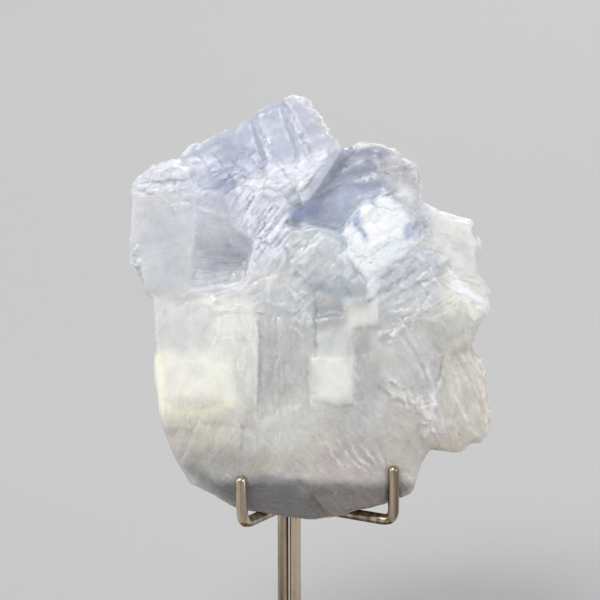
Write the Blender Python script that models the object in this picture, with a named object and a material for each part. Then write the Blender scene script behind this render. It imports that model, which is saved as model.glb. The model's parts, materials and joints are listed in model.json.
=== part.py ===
"""A pale blue calcite specimen standing on a four-prong wire display stand, at real size.

World axes: +Z up, the viewer at -Y, +X to the viewer's right. The origin is the centre of the base's
underside. The stone has axes of its own: x to the right, z up from its lowest lip and y away from the
viewer, and it leans back on the stand by STONE_LEAN. Sizes are in millimetres up to the last step.
"""

import math
import random
from dataclasses import dataclass

import bmesh
import bpy
from mathutils import Matrix, Vector
from mathutils.bvhtree import BVHTree

MM = 0.001
SEED = 11

# Driving dimensions of the stand
ROD_DIAMETER = 3.0
ROD_SIDES = 12
BASE_DIAMETER = 84.0
BASE_THICKNESS = 7.0
BASE_BEVEL = 1.2
SOCKET_DEPTH = 3.0
STEM_TOP = 48.0
ARM_HEIGHT = STEM_TOP + 2.1
STEM_TURN = math.radians(-12.0)
PRONG_BEND_RADIUS = 3.4
GAP = 0.3

# Driving dimensions of the stone
STONE_LEAN = math.radians(12.0)
STONE_FOOT = Vector((0.0, -8.0, STEM_TOP))
STONE_CENTRE = Vector((5.0, 2.0, 52.0))
SHOULDER_DROP = 0.8
SHOULDER_JITTER = 0.5
SIDE_FRONT_LIMIT = -6.0
FRONT_CHIP_COUNT = 56
SIDE_RHOMB_COUNT = 52
SIDE_RHOMB_SIZES = (6.0, 24.0)
SIDE_RHOMB_HEIGHTS = (1.0, 4.0)
NOTCH_COUNT = 16
NOTCH_SIZES = (7.0, 16.0)
NOTCH_HEIGHTS = (-4.0, -1.5)
FAN_ROOT = Vector((27.0, 64.0))

# Where the four arms turn up, seen from above, and how far their prongs rise
FRONT_LEFT = (-12.0, -22.6)
FRONT_RIGHT = (27.4, -19.5)
REAR_LEFT = (-21.0, 16.0)
REAR_RIGHT = (14.0, 19.5)
FRONT_PRONG_HEIGHTS = (13.0, 15.0)
REAR_PRONG_HEIGHTS = (30.0, 30.0)
REAR_PRONG_LEAN = 0.21
FORK_OFFSET = 1.65


@dataclass(frozen=True)
class Block:
    """One crystal block of the cluster: a faceted lump with a flat front face and a flat back face.

    outline is its widest ring seen from the front, as (x, z). front and back are (depth, slope across,
    slope up) of its faces: the depth y at the middle, and how fast it grows with x and with z.
    shoulders is how far the front and the back face are set in from the outline.
    """

    name: str
    outline: tuple
    front: tuple
    back: tuple
    shoulders: tuple = (0.9, 4.0)


@dataclass(frozen=True)
class Grain:
    """A region of one cleavage: the two edge directions seen from the front, in degrees, and its tilt."""

    centre: tuple
    edge_angles: tuple
    slope: tuple


# The stone's outline seen from the front, round from the peak's left
SILHOUETTE = (
    (1.8, 111.6), (-1.1, 110.8), (-1.3, 109.7), (-5, 108.9), (-8.2, 107.4), (-8.9, 105.8),
    (-12.6, 104.5), (-14.7, 102.9), (-19.2, 101.3), (-22.9, 98.9), (-25.3, 98.7), (-27.4, 97.1),
    (-28.9, 94.7), (-33.9, 93.7), (-36.3, 92.6), (-37.6, 90.3), (-40.3, 89.5), (-41.3, 86.6),
    (-41.8, 73.4), (-41.8, 69.5), (-39.5, 66.1), (-38.2, 61.6), (-38.2, 59.2), (-35.8, 58.7),
    (-35.3, 52.4), (-35.3, 39.2), (-33.7, 26.1), (-30.8, 18.2), (-25.8, 9.2), (-19.5, 6.3),
    (-14.2, 2.9), (-7.1, 1.6), (-1.1, 0.5), (6.1, -0.3), (10.8, 0.3), (16.1, 2.1), (24.7, 3.9),
    (32.6, 7.1), (33.4, 9.7), (35, 15), (37.4, 18.4), (45.3, 17.4), (47.4, 20), (50.3, 20),
    (53.2, 23.9), (53.2, 28.2), (51.8, 37.9), (50.8, 41.8), (47.9, 45.5), (50.3, 51.8), (52.1, 53.9),
    (52.4, 60.3), (50.5, 63.2), (49.5, 68.7), (51.1, 72.1), (49.2, 73.9), (48.9, 77.4), (45.5, 79.2),
    (38.9, 81.3), (34.7, 83.9), (35.3, 87.1), (33.4, 93.7), (29.5, 94.7), (28.2, 96.8), (25.3, 97.9),
    (21.3, 98.7), (18.2, 98.7), (14.5, 97.1), (12.9, 98.9), (6.1, 108.2), (5.3, 109.7), (3.4, 111.1),
)

CORE = Block("core", SILHOUETTE, front=(-7, 0, 0), back=(18, 0.04, -0.05), shoulders=(8, 14))

UPPER_BLOCKS = (
    Block("peak_left_plate",
          ((-29, 94.7), (-27.4, 97.1), (-25.3, 98.7), (-22.9, 98.9), (-19.2, 101.3), (-14.7, 102.9),
           (-12.6, 104.5), (-8.9, 105.8), (-5.5, 98), (-4.5, 90), (-8, 84), (-18, 84), (-26, 88)),
          front=(-9.0, -0.02, 0.32), back=(9, 0, -0.1), shoulders=(0.9, 5)),
    Block("peak_middle_plate",
          ((-9.2, 105.5), (-8.2, 107.4), (-5, 108.9), (-1.3, 109.8), (1.5, 103), (3.6, 97), (3.4, 90),
           (0, 85), (-6, 86), (-6, 94)),
          front=(-10.6, -0.02, 0.32), back=(7, 0, -0.1), shoulders=(0.7, 4)),
    Block("peak_right_plate",
          ((-1.6, 109.6), (-1.1, 110.8), (1.8, 111.6), (3.4, 111.1), (5.3, 109.7), (6.1, 108.2),
           (9.5, 103.7), (12.9, 98.9), (14.5, 97.1), (11, 92), (6.5, 85), (3.5, 82), (2, 88), (2.6, 97),
           (0.3, 104)),
          front=(-12.0, -0.05, 0.32), back=(6, 0, -0.1), shoulders=(0.8, 4)),
    Block("left_block",
          ((-41.3, 86.6), (-40.8, 87.9), (-40.3, 89.5), (-37.6, 90.3), (-36.3, 92.6), (-33.9, 93.7),
           (-29, 94.7), (-25, 91), (-23, 84), (-24, 72), (-25.5, 62), (-27, 59.2), (-35.8, 58.7),
           (-38.2, 59.2), (-38.2, 61.6), (-39.5, 66.1), (-41.1, 67.6), (-41.8, 69.5), (-41.9, 73.4),
           (-41.6, 81.3)),
          front=(-14.5, -0.12, 0.08), back=(9, 0.1, 0), shoulders=(1.5, 5)),
    Block("grey_facet",
          ((-26, 86), (-17, 87), (-8, 72), (-11, 62.5), (-24, 59.5)),
          front=(-11.9, 0.27, -0.10), back=(4, 0, 0), shoulders=(0.4, 2)),
    Block("upper_rubble",
          ((-20, 86), (-6, 88), (4, 84.5), (-1, 77), (-8, 71), (-14, 76)),
          front=(-13.2, 0.02, 0.05), back=(4, 0, 0)),
    Block("middle_rubble",
          ((-9, 73), (-1, 77), (0, 66), (9, 66), (11, 62), (-4, 57), (-12, 59), (-11, 66)),
          front=(-15.5, 0.0, 0.05), back=(4, 0, 0)),
    Block("blue_window",
          ((-4, 78), (2, 85.5), (13, 91), (24, 92), (26, 84), (20, 78), (17, 72), (8, 71), (0, 74)),
          front=(-9.6, -0.03, -0.08), back=(4, 0, 0), shoulders=(0.3, 2)),
    Block("upper_right_face",
          ((14.5, 97.1), (16.6, 97.8), (18.2, 98.7), (21.3, 98.7), (25.3, 97.9), (28.2, 96.8),
           (26.4, 91), (24.5, 88), (14.7, 88), (5, 85), (9, 90)),
          front=(-10.5, -0.10, 0.14), back=(8, 0, -0.1), shoulders=(0.6, 5)),
    Block("upper_right_cheek",
          ((28.4, 96.6), (29.5, 94.7), (31.6, 94.5), (33.4, 93.7), (34.5, 90.5), (35.3, 87.1),
           (34.7, 83.9), (35.5, 82.6), (30, 80), (22, 83), (24.5, 88), (26, 91)),
          front=(-10.5, 0.25, 0.05), back=(9, -0.1, 0), shoulders=(0.8, 4)),
)

MIDDLE_BLOCKS = (
    Block("front_bed",
          ((-31, 58), (-24, 60.5), (-11, 63), (-8, 72), (8, 74), (18, 78), (30, 78), (42, 72),
           (44, 48), (46, 38), (48, 26), (33, 22), (30, 14), (0, 12), (-23, 14), (-30, 26),
           (-32, 40)),
          front=(-14.6, 0.03, 0), back=(0, 0, 0), shoulders=(1.5, 1)),
    Block("white_patch",
          ((15.3, 77.4), (16.6, 80.8), (19.2, 83.9), (23.4, 83.4), (26.6, 83.9), (31.3, 82.1),
           (33.9, 80), (35.8, 75.5), (35.5, 72.1), (30.5, 70.3), (27.9, 67.6), (25.3, 64.2),
           (21.3, 62.9), (17.4, 67.6), (14.7, 70.8)),
          front=(-16.6, 0.06, 0.16), back=(2, 0, 0), shoulders=(2.4, 2)),
    Block("bright_ridge",
          ((14, 71.5), (20, 70), (25, 62), (24, 56.5), (17, 57), (14, 62)),
          front=(-17.4, 0.05, 0.1), back=(2, 0, 0), shoulders=(1.8, 1)),
    Block("veiled_blue_face",
          ((-1, 76), (8, 77), (14.7, 75), (17, 66), (15, 57), (4, 57), (-3, 62)),
          front=(-15.2, -0.04, 0.03), back=(2, 0, 0), shoulders=(1.0, 1)),
    Block("right_shoulder",
          ((35.5, 82.9), (37.6, 82.4), (38.9, 81.3), (41.8, 80.3), (45.5, 79.2), (48.2, 78.4),
           (48.9, 77.4), (49.2, 73.9), (50.3, 73.4), (51.1, 72.1), (50.8, 70.3), (49.5, 68.7),
           (50, 66.8), (50.5, 63), (46, 61), (38, 64), (32, 68), (32, 76)),
          front=(-11.5, 0.14, 0.08), back=(11, -0.15, 0), shoulders=(2.4, 5)),
    Block("shaded_groove",
          ((24, 66), (34, 71), (42, 69), (38, 62), (27, 56), (22, 60)),
          front=(-15.2, 0.04, -0.12), back=(2, 0, 0), shoulders=(0.6, 1)),
    Block("right_ledge",
          ((50.5, 63.4), (51.8, 61.8), (52.4, 60.3), (51.8, 57.4), (52.4, 56.3), (52.1, 53.9),
           (50.3, 51.8), (49.2, 49.2), (47.9, 45.5), (40, 44), (30, 50), (25, 55), (29, 61), (37, 65),
           (44, 65.5)),
          front=(-14.5, 0.12, 0.20), back=(10, -0.1, 0), shoulders=(1.8, 4)),
    Block("big_milky_block",
          ((-35.8, 58.7), (-35.3, 52.4), (-35, 45.8), (-35.3, 39.2), (-34.2, 31.8), (-33.7, 26.1),
           (-32.6, 23.2), (-22, 24.4), (-8.2, 24.6), (-8.0, 40), (-8.3, 50), (-10, 57), (-20, 61),
           (-28, 60.5)),
          front=(-18.2, -0.08, 0.10), back=(8, 0, 0), shoulders=(1.4, 4)),
    Block("grey_column",
          ((-9, 58), (4, 59), (7, 52), (7, 30), (4, 17), (-9, 17)),
          front=(-16.4, 0.0, 0.0), back=(2, 0, 0), shoulders=(1.0, 1)),
    Block("small_column_top",
          ((6.8, 52.5), (12, 54), (16.6, 52), (16.9, 41), (6.6, 41)),
          front=(-17.9, 0.0, 0.06), back=(0, 0, 0), shoulders=(0.8, 1)),
    Block("small_column_foot",
          ((5.8, 42), (16.9, 42), (16.9, 29.8), (12.5, 29.2), (6.2, 31)),
          front=(-19.0, 0.0, 0.04), back=(0, 0, 0), shoulders=(1.0, 1)),
    Block("cream_block",
          ((14, 57), (17, 58.5), (23.4, 58.8), (23.8, 52), (22, 50.3), (17, 50.3), (14.5, 53)),
          front=(-18.4, 0.05, 0.08), back=(0, 0, 0), shoulders=(1.4, 1)),
    Block("grey_groove",
          ((16.5, 51), (26, 51), (25, 40), (22, 29), (16.5, 29)),
          front=(-15.9, -0.03, 0.0), back=(0, 0, 0), shoulders=(0.6, 1)),
)

LOWER_BLOCKS = (
    Block("fan_body",
          ((47.9, 45.5), (48.9, 43.9), (50.8, 41.8), (51.8, 37.9), (52.4, 32.6), (53.2, 28.2),
           (53.2, 23.9), (52.1, 21.8), (50.3, 20), (47.4, 20), (45.3, 17.4), (37.4, 18.4), (34.5, 19),
           (30, 26), (27, 36), (30, 46), (38, 50)),
          front=(-13.5, 0.14, -0.04), back=(9, -0.15, 0), shoulders=(2.0, 4)),
    Block("wedge_facet",
          ((23, 49), (30, 51.5), (37, 48), (37.2, 38), (33, 31.5), (28, 33), (20, 38.5), (21, 44)),
          front=(-17.8, 0.08, -0.06), back=(0, 0, 0), shoulders=(1.2, 1)),
    Block("lower_left_face",
          ((-33, 25), (-32.4, 22.9), (-30.8, 18.2), (-27.9, 12.9), (-25.8, 9.2), (-14, 9.0), (-7, 13),
           (-7, 25)),
          front=(-16.8, -0.12, -0.30), back=(8, 0, 0), shoulders=(0.9, 3)),
    Block("lower_centre_face",
          ((-9, 26), (8, 31), (22, 32), (32, 31), (36.3, 17.6), (35, 15), (33.4, 9.9), (20, 9.5),
           (0, 9.5), (-12, 9.0), (-10, 18)),
          front=(-15.8, 0.12, -0.13), back=(8, 0, 0), shoulders=(1.0, 3)),
    Block("left_foot_facet",
          ((-25.8, 9.6), (-19.5, 6.3), (-14.2, 2.9), (-7.1, 1.6), (-1.1, 0.5), (6.1, -0.3),
           (10.8, 0.3), (14, 1.5), (5, 11), (-10, 12)),
          front=(-12.0, -0.05, -0.80), back=(8, 0, 0), shoulders=(0.4, 2)),
    Block("right_foot_facet",
          ((11, 0.4), (16.1, 2.1), (21.3, 3.2), (24.7, 3.9), (29.2, 5.8), (32.6, 7.1), (33.4, 9.9),
           (22, 13), (2, 12.5)),
          front=(-14.0, 0.14, -0.34), back=(8, 0, 0), shoulders=(0.4, 2)),
)

REAR_BLOCKS = (
    Block("rear_upper_left", ((-34, 84), (-16, 96), (2, 98), (4, 70), (-10, 60), (-32, 62)),
          front=(0, 0, 0), back=(22.5, 0.08, -0.22), shoulders=(2, 3)),
    Block("rear_upper_right", ((2, 96), (14, 92), (30, 90), (44, 72), (40, 56), (16, 54), (4, 68)),
          front=(0, 0, 0), back=(20.5, -0.16, -0.20), shoulders=(2, 3)),
    Block("rear_lower_left", ((-31, 60), (-6, 62), (4, 50), (2, 20), (-14, 12), (-28, 20)),
          front=(0, 0, 0), back=(23.5, 0.12, 0.04), shoulders=(2, 3)),
    Block("rear_lower_right", ((6, 54), (28, 56), (46, 48), (47, 28), (34, 20), (14, 16), (4, 30)),
          front=(0, 0, 0), back=(21.5, -0.12, 0.06), shoulders=(2, 3)),
    Block("rear_foot", ((-16, 30), (14, 34), (26, 20), (18, 10), (-8, 9), (-20, 14)),
          front=(0, 0, 0), back=(19, 0, 0.32), shoulders=(2, 3)),
)

# Flat breaks that trim the fused blocks: a point on each and the direction that is broken away
BREAKS = (
    (Vector((0, 6, 5.2)), Vector((0.0, 0.40, -1.0))),
    (Vector((-35, 14, 45)), Vector((-0.75, 0.66, 0.05))),
    (Vector((45, 13, 40)), Vector((0.78, 0.62, -0.10))),
    (Vector((0, 13, 99)), Vector((0.10, 0.72, 0.70))),
    (Vector((-29, 12, 84)), Vector((-0.50, 0.62, 0.60))),
    (Vector((31, 12, 84)), Vector((0.46, 0.60, 0.66))),
    (Vector((-23, 15, 16)), Vector((-0.52, 0.60, -0.60))),
    (Vector((32, 12, 16)), Vector((0.52, 0.52, -0.66))),
)

GRAINS = (
    Grain((0, 98), (28, -54), (-0.03, 0.32)),
    Grain((-32, 76), (4, 88), (-0.12, 0.06)),
    Grain((-6, 70), (49, -30), (0.10, 0.10)),
    Grain((22, 90), (16, -66), (0.05, 0.10)),
    Grain((26, 74), (38, -48), (0.10, 0.20)),
    Grain((44, 68), (-14, 78), (0.16, 0.12)),
    Grain((-22, 42), (1, 90), (-0.08, 0.05)),
    Grain((8, 40), (-2, 86), (0.0, 0.05)),
    Grain((40, 35), (-62, 24), (0.15, 0.0)),
    Grain((-18, 14), (-24, 62), (-0.10, -0.35)),
    Grain((16, 14), (22, -58), (0.12, -0.30)),
)

# The corners of a box or a rhomb as steps along its three edges, and its faces
BOX_CORNERS = tuple((i, j, k) for k in (-1, 1) for i, j in ((-1, -1), (1, -1), (1, 1), (-1, 1)))
BOX_FACES = ((0, 1, 2, 3), (4, 5, 6, 7), (0, 1, 5, 4), (1, 2, 6, 5), (2, 3, 7, 6), (3, 0, 4, 7))

# Smooth faces that carry no chips: (x, z, radius)
CALM_FACES = (
    (-32, 76, 9), (-31, 68, 7), (-17, 72, 7.5), (8, 80, 6), (16, 84, 5), (-4, 99, 5), (6, 101, 4.5),
    (-14, 97, 5), (-24, 46, 9), (-18, 34, 9), (-26, 32, 6), (-14, 48, 6), (11, 36, 5), (11, 47, 4.5),
    (19, 54, 4), (40, 75, 6), (28, 43, 6.5), (31, 38, 4), (-6, 7, 7), (8, 6, 6), (20, 8, 5), (25, 76, 5),
)


def rng(name):
    """A random stream of its own for each named part, the same on every run."""
    return random.Random(f"{SEED} {name}")


def clear_scene():
    for obj in list(bpy.data.objects):
        bpy.data.objects.remove(obj, do_unlink=True)


def make_material(name, colour, roughness, metallic):
    material = bpy.data.materials.new(name)
    material.use_nodes = True
    shader = material.node_tree.nodes["Principled BSDF"]
    shader.inputs["Base Color"].default_value = (*colour, 1.0)
    shader.inputs["Roughness"].default_value = roughness
    shader.inputs["Metallic"].default_value = metallic
    return material


def make_object(name, points, faces, collection=None):
    """An object from points in millimetres, its faces turned outwards."""
    mesh = bpy.data.meshes.new(name)
    mesh.from_pydata([Vector(p) * MM for p in points], [], faces)
    shape = bmesh.new()
    shape.from_mesh(mesh)
    bmesh.ops.recalc_face_normals(shape, faces=shape.faces)
    shape.to_mesh(mesh)
    shape.free()
    obj = bpy.data.objects.new(name, mesh)
    (collection or bpy.context.scene.collection).objects.link(obj)
    return obj


def helper_collection(name):
    """A collection for shapes that are only fused with another or cut from it."""
    collection = bpy.data.collections.new(name)
    bpy.context.scene.collection.children.link(collection)
    return collection


def remove_helpers(collection):
    for obj in list(collection.objects):
        bpy.data.objects.remove(obj, do_unlink=True)
    bpy.data.collections.remove(collection)


def stone_to_world():
    return Matrix.Translation(STONE_FOOT * MM) @ Matrix.Rotation(-STONE_LEAN, 4, "X")


# The stone's blocks


def ring(block, centre, plane, inset, drop, stream):
    """One ring of a block: its outline drawn in by inset, on a face plane moved back by drop."""
    depth, across, up = plane
    reach = sum((Vector(p) - centre).length for p in block.outline) / len(block.outline)
    scale = 1.0 - inset / reach
    points = []
    for point in block.outline:
        x, z = centre + (Vector(point) - centre) * scale
        y = depth + across * (x - centre.x) + up * (z - centre.y) + drop
        if drop:
            y += stream.uniform(-SHOULDER_JITTER, SHOULDER_JITTER)
        points.append((x, y, z))
    return points


def block_object(block, collection=None):
    stream = rng(block.name)
    centre = sum((Vector(p) for p in block.outline), Vector((0, 0))) / len(block.outline)
    front_inset, back_inset = block.shoulders
    front_drop = SHOULDER_DROP * front_inset + SHOULDER_JITTER
    back_drop = -SHOULDER_DROP * back_inset
    rings = (
        ring(block, centre, block.front, front_inset, 0.0, stream),
        ring(block, centre, block.front, 0.0, front_drop, stream),
        ring(block, centre, block.back, 0.0, back_drop, stream),
        ring(block, centre, block.back, back_inset, 0.0, stream),
    )
    points = [p for one in rings for p in one]
    count = len(block.outline)
    faces = [tuple(range(count)), tuple(range(3 * count, 4 * count))]
    for level in range(3):
        for i in range(count):
            j = (i + 1) % count
            low, high = level * count, (level + 1) * count
            faces.append((low + i, low + j, high + j, high + i))
    return make_object(block.name, points, faces, collection)


def break_cutter(number, point, outward, collection):
    """A large box whose near face is the break plane."""
    half = 60.0
    turn = outward.to_track_quat("Z", "Y").to_matrix()
    centre = point + outward * half
    points = [centre + turn @ (Vector(corner) * half) for corner in BOX_CORNERS]
    return make_object(f"break_{number}", points, BOX_FACES, collection)


# Cleavage chips, notches and blades on the fused blocks


def nearest_grain(x, z):
    return min(GRAINS, key=lambda grain: (Vector(grain.centre) - Vector((x, z))).length)


def grain_edges(grain, stream):
    """The three edge directions of a cleavage rhomb in this grain."""
    edges = []
    across, up = grain.slope
    for angle in grain.edge_angles:
        turn = math.radians(angle + stream.uniform(-4, 4))
        x, z = math.cos(turn), math.sin(turn)
        edges.append(Vector((x, across * x + up * z, z)).normalized())
    edges.append(Vector((0.22, 1.0, -0.18)).normalized())
    return edges


def rhomb_corners(centre, edges, lengths):
    """The eight corners of a cleavage rhomb around its centre."""
    halves = [edge * (length / 2) for edge, length in zip(edges, lengths)]
    return [centre + halves[0] * i + halves[1] * j + halves[2] * k for i, j, k in BOX_CORNERS]


def rhomb_object(name, centre, edges, lengths, collection):
    return make_object(name, rhomb_corners(centre, edges, lengths), BOX_FACES, collection)


def in_calm_face(x, z):
    return any(math.hypot(x - cx, z - cz) < radius for cx, cz, radius in CALM_FACES)


def inside_silhouette(x, z):
    """Whether a point lies inside the stone's outline seen from the front."""
    inside = False
    for (x0, z0), (x1, z1) in zip(SILHOUETTE, SILHOUETTE[1:] + SILHOUETTE[:1]):
        if (z0 > z) != (z1 > z) and x < x0 + (x1 - x0) * (z - z0) / (z1 - z0):
            inside = not inside
    return inside


def drawn_inside(centre, edges, lengths):
    """The centre moved inwards until the rhomb stays inside the silhouette, or None."""
    inwards = STONE_CENTRE - centre
    inwards.y = 0
    inwards.normalize()
    for step in range(6):
        middle = centre + inwards * (step * 0.9)
        if all(inside_silhouette(c.x, c.z) for c in rhomb_corners(middle, edges, lengths)):
            return middle
    return None


def surface_at(tree, origin, direction):
    """The first hit on the stone, in millimetres, or None."""
    hit = tree.ray_cast(origin * MM, direction.normalized(), 1.0)[0]
    return None if hit is None else hit / MM


def half_extent(edges, lengths, direction):
    """How far a rhomb reaches from its centre along a direction."""
    return sum(abs(edge.dot(direction)) * length / 2 for edge, length in zip(edges, lengths))


def front_chips(tree, count, collection):
    """Thin cleavage plates that stand proud of the rough parts of the front."""
    stream = rng("front chips")
    made = 0
    while made < count:
        x, z = stream.uniform(-40, 51), stream.uniform(9, 108)
        hit = surface_at(tree, Vector((x, -80, z)), Vector((0, 1, 0)))
        if hit is None or in_calm_face(x, z):
            continue
        edges = grain_edges(nearest_grain(x, z), stream)
        long_side = 2.0 + 6.5 * stream.random() ** 1.6
        lengths = (long_side, long_side * stream.uniform(0.35, 0.8), stream.uniform(2.4, 4.0))
        rise = stream.uniform(0.25, 0.9)
        centre = drawn_inside(hit + edges[2] * (lengths[2] / 2 - rise), edges, lengths)
        if centre is not None:
            rhomb_object(f"front_chip_{made}", centre, edges, lengths, collection)
            made += 1


def side_rhombs(tree, name, count, sizes, heights, collection):
    """Cleavage rhombs all round the sides and the back.

    Each one's outermost corner stands proud of the surface by a height in the given range. A negative
    height turns them to notch cutters, whose innermost corner lies that deep.
    """
    stream = rng(name)
    made = 0
    while made < count:
        turn = math.radians(stream.uniform(-20, 200))
        level = stream.uniform(12, 106)
        axis_point = Vector((STONE_CENTRE.x, STONE_CENTRE.y, level))
        outward = Vector((math.cos(turn), math.sin(turn), stream.uniform(-0.25, 0.25))).normalized()
        hit = surface_at(tree, axis_point + outward * 110, -outward)
        if hit is None:
            continue
        edges = grain_edges(nearest_grain(hit.x, hit.z), stream)
        size = sizes[0] + (sizes[1] - sizes[0]) * stream.random() ** 2
        lengths = tuple(size * stream.uniform(0.55, 1.2) for _ in edges)
        reach = half_extent(edges, lengths, outward)
        height = stream.uniform(*heights)
        centre = hit + outward * (height - reach if height > 0 else height + reach)
        if height > 0:
            centre = drawn_inside(centre, edges, lengths)
        if centre is None or centre.y - half_extent(edges, lengths, Vector((0, 1, 0))) < SIDE_FRONT_LIMIT:
            continue
        rhomb_object(f"{name}_{made}", centre, edges, lengths, collection)
        made += 1


def blade_object(tree, name, start, end, width, rise, collection):
    """A roof-shaped crystal blade that lies along the front surface from start to end."""
    stations = 4
    along = (Vector(end) - Vector(start)).normalized()
    side = Vector((-along.y, along.x)) * (width / 2)
    points = []
    for i in range(stations):
        share = i / (stations - 1)
        middle = Vector(start).lerp(Vector(end), share)
        hit = surface_at(tree, Vector((middle.x, -80, middle.y)), Vector((0, 1, 0)))
        if hit is None:
            return None
        taper = 0.45 + 0.55 * math.sin(math.pi * min(1.0, share + 0.18))
        for offset, y in ((-1, 2.6), (0, -rise * taper), (1, 2.6)):
            x, z = middle + side * (offset * taper)
            points.append((x, hit.y + y, z))
    faces = [(0, 1, 2), tuple(3 * (stations - 1) + i for i in (0, 1, 2))]
    for i in range(stations - 1):
        for a, b in ((0, 1), (1, 2), (2, 0)):
            faces.append((3 * i + a, 3 * i + b, 3 * i + 3 + b, 3 * i + 3 + a))
    return make_object(name, points, faces, collection)


def fan_blades(tree, collection):
    """The radiating blades of the lower right lobe, and the shorter ones under the wedge."""
    stream = rng("fan")
    for i in range(11):
        turn = math.radians(-41 - 4.6 * i + stream.uniform(-1.2, 1.2))
        ray = Vector((math.cos(turn), math.sin(turn)))
        start = FAN_ROOT + ray * stream.uniform(20, 27)
        end = FAN_ROOT + ray * stream.uniform(34, 44)
        blade_object(tree, f"fan_blade_{i}", start, end, stream.uniform(1.8, 3.0),
                     stream.uniform(0.5, 1.1), collection)
    for i in range(9):
        start = Vector((12 + 2.6 * i + stream.uniform(-0.6, 0.6), stream.uniform(21, 27)))
        end = start + Vector((stream.uniform(1.5, 4.0), -stream.uniform(6, 10)))
        blade_object(tree, f"foot_blade_{i}", start, end, stream.uniform(1.6, 2.6),
                     stream.uniform(0.4, 0.9), collection)


def flow_blades(tree, collection):
    """The broken ridges that run down to the left through the middle of the front."""
    stream = rng("flow")
    for i in range(13):
        start = Vector((-9 + 1.35 * i + stream.uniform(-0.8, 0.8), 88 - 1.6 * i + stream.uniform(-3, 3)))
        turn = math.radians(stream.uniform(-134, -118))
        end = start + Vector((math.cos(turn), math.sin(turn))) * stream.uniform(7, 13)
        blade_object(tree, f"flow_blade_{i}", start, end, stream.uniform(1.7, 3.0),
                     stream.uniform(0.5, 1.3), collection)


def add_boolean(obj, name, collection, operation, solver="EXACT"):
    modifier = obj.modifiers.new(name, "BOOLEAN")
    modifier.operand_type = "COLLECTION"
    modifier.collection = collection
    modifier.operation = operation
    modifier.solver = solver


def surface_tree(obj):
    """The stone's surface so far, for placing chips on it."""
    graph = bpy.context.evaluated_depsgraph_get()
    evaluated = obj.evaluated_get(graph)
    mesh = evaluated.to_mesh()
    points = [v.co.copy() for v in mesh.vertices]
    faces = [tuple(p.vertices) for p in mesh.polygons]
    evaluated.to_mesh_clear()
    return BVHTree.FromPolygons(points, faces)


def shell_from(face, seen):
    """Every face joined to this one, edge to edge."""
    shell, waiting = [], [face]
    seen.add(face)
    while waiting:
        current = waiting.pop()
        shell.append(current)
        for edge in current.edges:
            for neighbour in edge.link_faces:
                if neighbour not in seen:
                    seen.add(neighbour)
                    waiting.append(neighbour)
    return shell


def apply_modifiers(obj):
    """Bakes the modifiers in and drops the shells of pinholes that the fused blocks closed over."""
    graph = bpy.context.evaluated_depsgraph_get()
    mesh = bpy.data.meshes.new_from_object(obj.evaluated_get(graph))
    obj.modifiers.clear()
    shape = bmesh.new()
    shape.from_mesh(mesh)
    seen, shells = set(), []
    for face in shape.faces:
        if face not in seen:
            shells.append(shell_from(face, seen))
    shells.sort(key=len)
    pinholes = [face for shell in shells[:-1] for face in shell]
    bmesh.ops.delete(shape, geom=pinholes, context="FACES")
    shape.to_mesh(mesh)
    shape.free()
    mesh.name = obj.name
    obj.data = mesh


def build_stone(clearance):
    """The calcite cluster: blocks fused in one solid, trimmed by breaks, with chips and blades."""
    stone = block_object(CORE)
    stone.name = "calcite_cluster"
    blocks = helper_collection("stone_blocks")
    for block in UPPER_BLOCKS + MIDDLE_BLOCKS + LOWER_BLOCKS + REAR_BLOCKS:
        block_object(block, blocks)
    breaks = helper_collection("stone_breaks")
    for number, (point, outward) in enumerate(BREAKS):
        break_cutter(number, point, outward.normalized(), breaks)
    add_boolean(stone, "fuse blocks", blocks, "UNION", "MANIFOLD")
    add_boolean(stone, "trim breaks", breaks, "DIFFERENCE", "MANIFOLD")
    tree = surface_tree(stone)

    chips = helper_collection("stone_chips")
    front_chips(tree, FRONT_CHIP_COUNT, chips)
    side_rhombs(tree, "side_chip", SIDE_RHOMB_COUNT, SIDE_RHOMB_SIZES, SIDE_RHOMB_HEIGHTS, chips)
    fan_blades(tree, chips)
    flow_blades(tree, chips)
    notches = helper_collection("stone_notches")
    side_rhombs(tree, "notch", NOTCH_COUNT, NOTCH_SIZES, NOTCH_HEIGHTS, notches)
    add_boolean(stone, "fuse chips", chips, "UNION", "MANIFOLD")
    add_boolean(stone, "cut notches", notches, "DIFFERENCE", "MANIFOLD")
    add_boolean(stone, "clear stand", clearance, "DIFFERENCE", "MANIFOLD")
    apply_modifiers(stone)
    for helpers in (blocks, breaks, chips, notches, clearance):
        remove_helpers(helpers)
    stone.data.transform(stone_to_world())
    stone.data.materials.append(make_material("calcite", (0.80, 0.83, 0.88), 0.35, 0.0))


# The stand


def rounded_route(corners, bend_radius, steps=5):
    """The corners joined by straight runs, with a smooth bend at each inner corner."""
    route = [Vector(corners[0])]
    for before, corner, after in zip(corners, corners[1:], corners[2:]):
        corner = Vector(corner)
        back = (Vector(before) - corner).normalized()
        ahead = (Vector(after) - corner).normalized()
        half = math.acos(max(-1.0, min(1.0, back.dot(ahead)))) / 2
        reach = bend_radius / math.tan(half)
        for i in range(steps + 1):
            share = i / steps
            start, end = corner + back * reach, corner + ahead * reach
            route.append(start.lerp(corner, share).lerp(corner.lerp(end, share), share))
    route.append(Vector(corners[-1]))
    return route


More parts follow.
